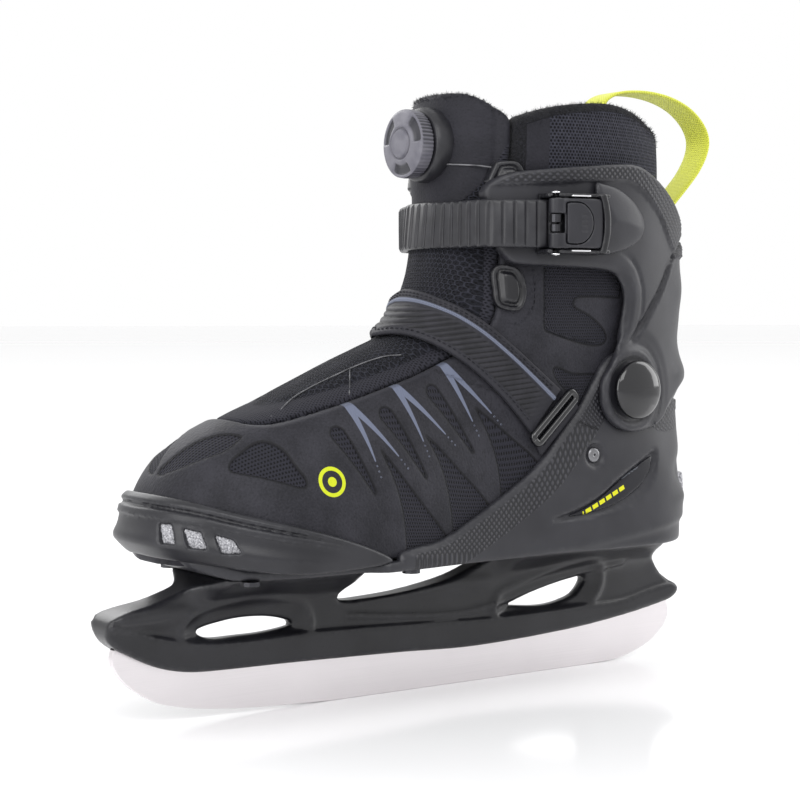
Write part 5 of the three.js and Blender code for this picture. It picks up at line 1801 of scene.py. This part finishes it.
# ---------------------------------------------------------------- small hardware
def add_caps(gloss, steel):
    """Domed caps over the ankle pivots."""
    for name, side in (("outer", 1), ("inner", -1)):
        dome = [(13.1, -1.0), (13.5, 0.0), (13.35, 1.0), (12.7, 1.8), (11.2, 2.6), (9, 3.35), (6, 3.95), (3, 4.25), (0.6, 4.35)]
        turn = 2 * np.pi * np.arange(64) / 64
        base = 47.6
        rings = [np.stack([PIVOT[0] + r * np.cos(turn), np.full(64, side * (base + h)), PIVOT[1] + r * np.sin(turn)], 1)
                 for r, h in dome]
        points = np.stack(rings, 1).reshape(-1, 3)
        faces = grid_faces(64, len(rings), around=True, ends=True)
        build(f"pivot_dome_{name}", points, faces, gloss, "cuff", [f"pivot_cap_{name}"], sharp=50)
        rivet = [(3.5, 0.0), (3.6, 0.8), (3.4, 1.3), (2.6, 1.75), (1.4, 1.95), (0.9, 1.75), (0.5, 1.7)]
        at = project_y(np.array([(-70.0, 0.0, 106.0)]), 4.4, side)[0]
        normal = surface_normal(at[None])[0]
        axis = Vector(normal).to_track_quat("Z", "Y").to_matrix()
        turn = 2 * np.pi * np.arange(36) / 36
        rings = [np.stack([r * np.cos(turn), r * np.sin(turn), np.full(36, h - 1.2)], 1) for r, h in rivet]
        points = np.stack(rings, 1).reshape(-1, 3) @ np.array(axis).T + at
        build(f"rivet_{name}", points, grid_faces(36, len(rings), around=True, ends=True), steel, "boot", [f"wing_rivet_{name}"])


def add_badges(material):
    """Glossy insets with plain stripes in place of the lettering."""
    field = lambda x, y, z: both(both(form(x, y, z, 4.5), badge_side(x, z) + 0.7, 0.5), -form(x, y, z, 2.9), 0.3)
    points, faces = mesh_field(field, (-112, -52, 74), (-44, 52, 108), 0.95)
    x, y, z = points.T
    slope = math.radians(-24)
    along = (x + 80) * math.cos(slope) + (z - 90.5) * math.sin(slope)
    up = -(x + 80) * math.sin(slope) + (z - 90.5) * math.cos(slope)
    marks = {"yellow": slab(up, -4.3, -2.3), "grey": slab(up, 0.4, 1.1), "along": -along}
    for name, side in (("outer", 1), ("inner", -1)):
        keep = side * y > 0
        own = {k: v[keep] for k, v in marks.items()}
        p, f = halves(points, faces, side)
        build(f"badge_{name}", p, f, material, "boot", [f"side_badge_{name}"], own)


def paint_badge():
    p = Paint("badge")
    yellow, grey, along = p.mark("yellow"), p.mark("grey"), p.mark("along")
    fine = p.noise(0.6, 2.0)
    inside = along.step(-20, -19.6) * along.step(8, 7.6)
    dashes = (along + 100.0).saw(4.4).math("ABSOLUTE").step(1.75, 1.6)
    shown = yellow.step(0.12, -0.12) * inside * dashes
    thin = grey.step(0.1, -0.1) * along.step(-16, -15.6) * along.step(20, 19.6)
    colour = p.mix(p.noise(8.0, 2.0), (0.006, 0.006, 0.009), (0.011, 0.011, 0.015))
    colour = p.mix(thin * 0.7, colour, (0.12, 0.13, 0.15))
    colour = p.mix(shown, colour, (0.62, 0.62, 0.01))
    p.bump(fine, 0.02)
    return p.finish(colour, 0.3 + fine * 0.1, shine=0.3)


def add_heel_reflector(material):
    cut = lambda x, y, z: np.maximum(np.maximum(x + 130, np.abs(y) - 25), slab(z, 83.5, 93.5))
    field = lambda x, y, z: both(both(form(x, y, z, 6.1), cut(x, y, z), 1.0), -form(x, y, z, 3.2), 0.4)
    points, faces = mesh_field(field, (-153, -28, 81), (-127, 28, 96), 0.8)
    build("heel_reflector_lens", points, faces, material, "boot", ["heel_reflector"])


def add_footbed(material):
    field = lambda x, y, z: both(form(x, y, z, -4.4), slab(z, 69.8, 72.9 - 0.8 * np.exp(-(((x + 95) / 26) ** 2 + (y / 20) ** 2))), 1.0)
    points, faces = mesh_field(field, (-142, -46, 68), (136, 46, 75), 1.6)
    x, y, z = points.T
    marks = {"flat": np.stack([x, y, z], 1), "panel": 0 * x + 5.0, "plush": 0 * x + 5.0}
    build("insole", points, faces, material, "boot", ["footbed"], marks)


LOOP_PATH = [
    (-117, 250), (-110, 261), (-105, 269.5), (-111, 275.6), (-126, 278.4), (-144, 277.6), (-158.5, 273.6),
    (-168.5, 267.2), (-173.8, 259.5), (-173.4, 251.8), (-168, 242.3), (-160, 233.6), (-150, 223.8), (-141.5, 214.5),
]


def add_loop(material):
    """The heel's pull loop, a band of webbing with plain bars across its top."""
    line = smooth_loop(LOOP_PATH, 12, False)
    line = resample(np.stack([line[:, 0], 0 * line[:, 0], line[:, 1]], 1), 1.0)
    along = np.gradient(line, axis=0)
    along /= np.linalg.norm(along, axis=1, keepdims=True)
    normal = np.stack([-along[:, 2], 0 * along[:, 0], along[:, 0]], 1)
    run = np.arange(len(line)) * 1.0
    section = [(-8, 0.0), (-7.85, 0.5), (-7.4, 0.72), (-4, 0.75), (0, 0.75), (4, 0.75), (7.4, 0.72), (7.85, 0.5), (8, 0.0),
               (7.85, -0.5), (7.4, -0.72), (4, -0.75), (0, -0.75), (-4, -0.75), (-7.4, -0.72), (-7.85, -0.5)]
    section = [(y, h) for y, h in section]
    rings = [line + np.array((0, y, 0)) + normal * h for y, h in section]
    points = np.stack(rings, 0).reshape(-1, 3)
    across = np.repeat([y for y, _ in section], len(line))
    face_up = np.repeat([h for _, h in section], len(line))
    runs = np.tile(run, len(section))
    bars = np.maximum(np.abs(runs % 14 - 7) - 2.0, np.abs(across) - 5.5)
    bars = np.maximum(np.maximum(bars, 42 - runs), runs - 92)
    marks = {"flat": np.stack([across, runs, 0 * runs], 1), "bars": np.where(face_up < 0, bars, 9.0)}
    faces = grid_faces(len(section), len(line), around=True, ends=True)
    return build("pull_loop_webbing", points, faces, material, "cuff", ["pull_loop"], marks)


# ---------------------------------------------------------------- thread, print and pile
def add_stitching(material):
    quarter = [(-44.6, 191), (-44.6, 177), (-44.8, 164.4), (-60, 159.4), (-73, 157.4)]
    seam = [(-42.6, 197), (-42.6, 214), (-42.4, 232), (-41.9, 250)]
    guide = [(-37.4, 194), (-38.6, 184), (-38, 175), (-34, 168.5), (-28, 165.4)]
    tab = [(-57.6, 127.2), (-41.2, 110.6)]
    for name, lines, grow, body in (
        ("upper", (quarter, guide), 1.95, None), ("collar", (seam,), 2.5, "cuff"), ("tab", (tab,), 3.3, "boot"),
    ):
        parts = [stitches(flank_path(line, grow, side), 1.9, 0.9, 0.28, 0.05) for line in lines for side in (1, -1)]
        points, faces = join_meshes(parts)
        build(f"{name}_stitching", points, faces, material, body)


def add_print_dots(material):
    """Rows of small raised dots that carry each stripe's arms on down the side."""
    parts = []
    for top, *ends in STRIPES:
        for end in ends:
            run = np.array(end, float) - top
            run /= np.linalg.norm(run)
            for i in range(3):
                x, z = np.array(end) + run * (2.2 + 2.4 * i)
                for side in (1, -1):
                    at = project_y(np.array([(x, 0.0, z)]), 1.85, side)
                    normal = surface_normal(at)[0]
                    axis = np.array(Vector(normal).to_track_quat("Z", "Y").to_matrix())
                    turn = 2 * np.pi * np.arange(10) / 10
                    rings = [np.stack([r * np.cos(turn), r * np.sin(turn), np.full(10, h)], 1)
                             for r, h in ((0.5, -0.3), (0.46, 0.12), (0.28, 0.24))]
                    parts.append((np.stack(rings, 1).reshape(-1, 3) @ axis.T + at, grid_faces(10, 3, True, True)))
    points, faces = join_meshes(parts)
    build("print_dots", points, faces, material, "boot")


def add_pile(piece, name, keep, count, long, material, body, seed):
    """Short tapered fibres standing on the part of a piece where keep is true."""
    mesh = piece.data
    place = np.empty(len(mesh.vertices) * 3)
    mesh.vertices.foreach_get("co", place)
    place = place.reshape(-1, 3) / MM
    normal = np.empty(len(mesh.vertices) * 3)
    mesh.vertex_normals.foreach_get("vector", normal)
    normal = normal.reshape(-1, 3)
    at = np.where(keep(*place.T))[0]
    chance = np.random.default_rng(seed)
    at = chance.choice(at, count)
    root = place[at] + chance.normal(0, 0.5, (count, 3)) * (1 - np.abs(normal[at]))
    lean = normal[at] + chance.normal(0, 0.45, (count, 3))
    lean /= np.linalg.norm(lean, axis=1, keepdims=True)
    length = long * chance.uniform(0.5, 1.0, count)
    side = np.cross(lean, (0.31, 0.22, 0.92))
    side /= np.linalg.norm(side, axis=1, keepdims=True)
    up = np.cross(lean, side)
    base = root - 0.4 * normal[at]
    rows = [base + 0.11 * (math.cos(t) * side + math.sin(t) * up) for t in np.arange(3) * 2 * math.pi / 3]
    bend = chance.normal(0, 0.25, (count, 3)) * length[:, None]
    rows.append(root + lean * length[:, None] + bend)
    points = np.stack(rows, 1).reshape(-1, 3)
    start = np.arange(count)[:, None] * 4
    faces = np.concatenate([start + f for f in ((0, 1, 3), (1, 2, 3), (2, 0, 3), (0, 2, 1))])
    return build(name, points, faces, material, body)


def repaint(material, *names):
    """Gives carried-over CAD parts a finished material."""
    for name in names:
        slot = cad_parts[name].material_slots[0]
        slot.link = "OBJECT"
        slot.material = material


add_camera()
add_studio()
add_floor()
upper_paint, tongue_paint, collar_paint = paint_upper(), paint_tongue(), paint_collar()
shell_paint, holder_paint, bumper_paint = paint_shell(), paint_holder(), paint_bumper()
strap_paint, gloss_paint, reflector_paint = paint_strap(), paint_gloss(), paint_reflector()
screw_paint = paint_steel("fastener_steel", (0.42, 0.42, 0.44), 0.32, (2.0, 2.0, 2.0))
chrome_paint = paint_steel("chrome_pin", (0.8, 0.8, 0.82), 0.12, (4.0, 4.0, 4.0))
knob_paint = paint_knob()
dark_steel = paint_steel("dark_steel", (0.05, 0.05, 0.055), 0.34, (2.0, 2.0, 2.0))
rivet_paint = paint_steel("rivet_steel", (0.2, 0.2, 0.21), 0.3, (2.0, 2.0, 2.0))
teeth_paint = paint_plain("ratchet_plastic", (0.013, 0.013, 0.016), (0.022, 0.022, 0.026), 0.38, 0.03, 0.5)
thread_paint = paint_plain("thread", (0.006, 0.006, 0.008), (0.03, 0.03, 0.038), 0.7, 0.1, 0.35, shine=0.2)
print_paint = paint_plain("print", (0.10, 0.11, 0.15), (0.16, 0.175, 0.23), 0.5, 0.04, 0.4)
lace_paint = paint_plain("lace_wire", (0.05, 0.05, 0.055), (0.16, 0.16, 0.17), 0.35, 0.12, 0.5, metal=0.5)
add_upper(upper_paint)
tongue_piece = add_tongue(tongue_paint)
collar_piece = add_collar(collar_paint)
add_chassis(shell_paint)
add_cuff(shell_paint)
add_bumper(bumper_paint)
add_bumper_windows(reflector_paint)
add_holder(holder_paint)
add_runner(paint_steel())
strap_piece, strap_seams = add_power_strap(strap_paint)
points, faces = join_meshes(strap_seams)
build("strap_stitching", points, faces, thread_paint, "boot")
add_ratchet(teeth_paint)
add_buckle(holder_paint, shell_paint, chrome_paint)
add_dial(knob_paint, teeth_paint, screw_paint)
add_guides(holder_paint, screw_paint)
add_laces(lace_paint)
add_ring(gloss_paint, strap_paint)
add_caps(gloss_paint, rivet_paint)
add_badges(paint_badge())
add_heel_reflector(reflector_paint)
add_footbed(collar_paint)
add_loop(paint_webbing())
add_stitching(thread_paint)
add_print_dots(print_paint)
plush_paint = paint_plush()
add_pile(collar_piece, "collar_pile", lambda x, y, z: (z > collar_top(x) - 6.5) & (z > 235), 5200, 1.5,
         plush_paint, "cuff", 3)
add_pile(tongue_piece, "tongue_pile", lambda x, y, z: z > tongue_top(x) - 3.5, 2200, 1.3,
         plush_paint, "cuff", 5)
bolt_names = [f"holder_bolt_{i}_{side}" for i in (1, 2, 3, 4) for side in ("outer", "inner")]
stud_names = [f"sole_stud_{i}_{side}" for i in (1, 2) for side in ("outer", "inner")]
repaint(screw_paint, *bolt_names, "pivot_bolt_outer", "pivot_bolt_inner", "anchor_screw")
repaint(dark_steel, *stud_names, "lever_spring", "pawl")
for piece_name in ("upper", "tongue", "upper_stitching"):
    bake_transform(bpy.data.objects[piece_name])
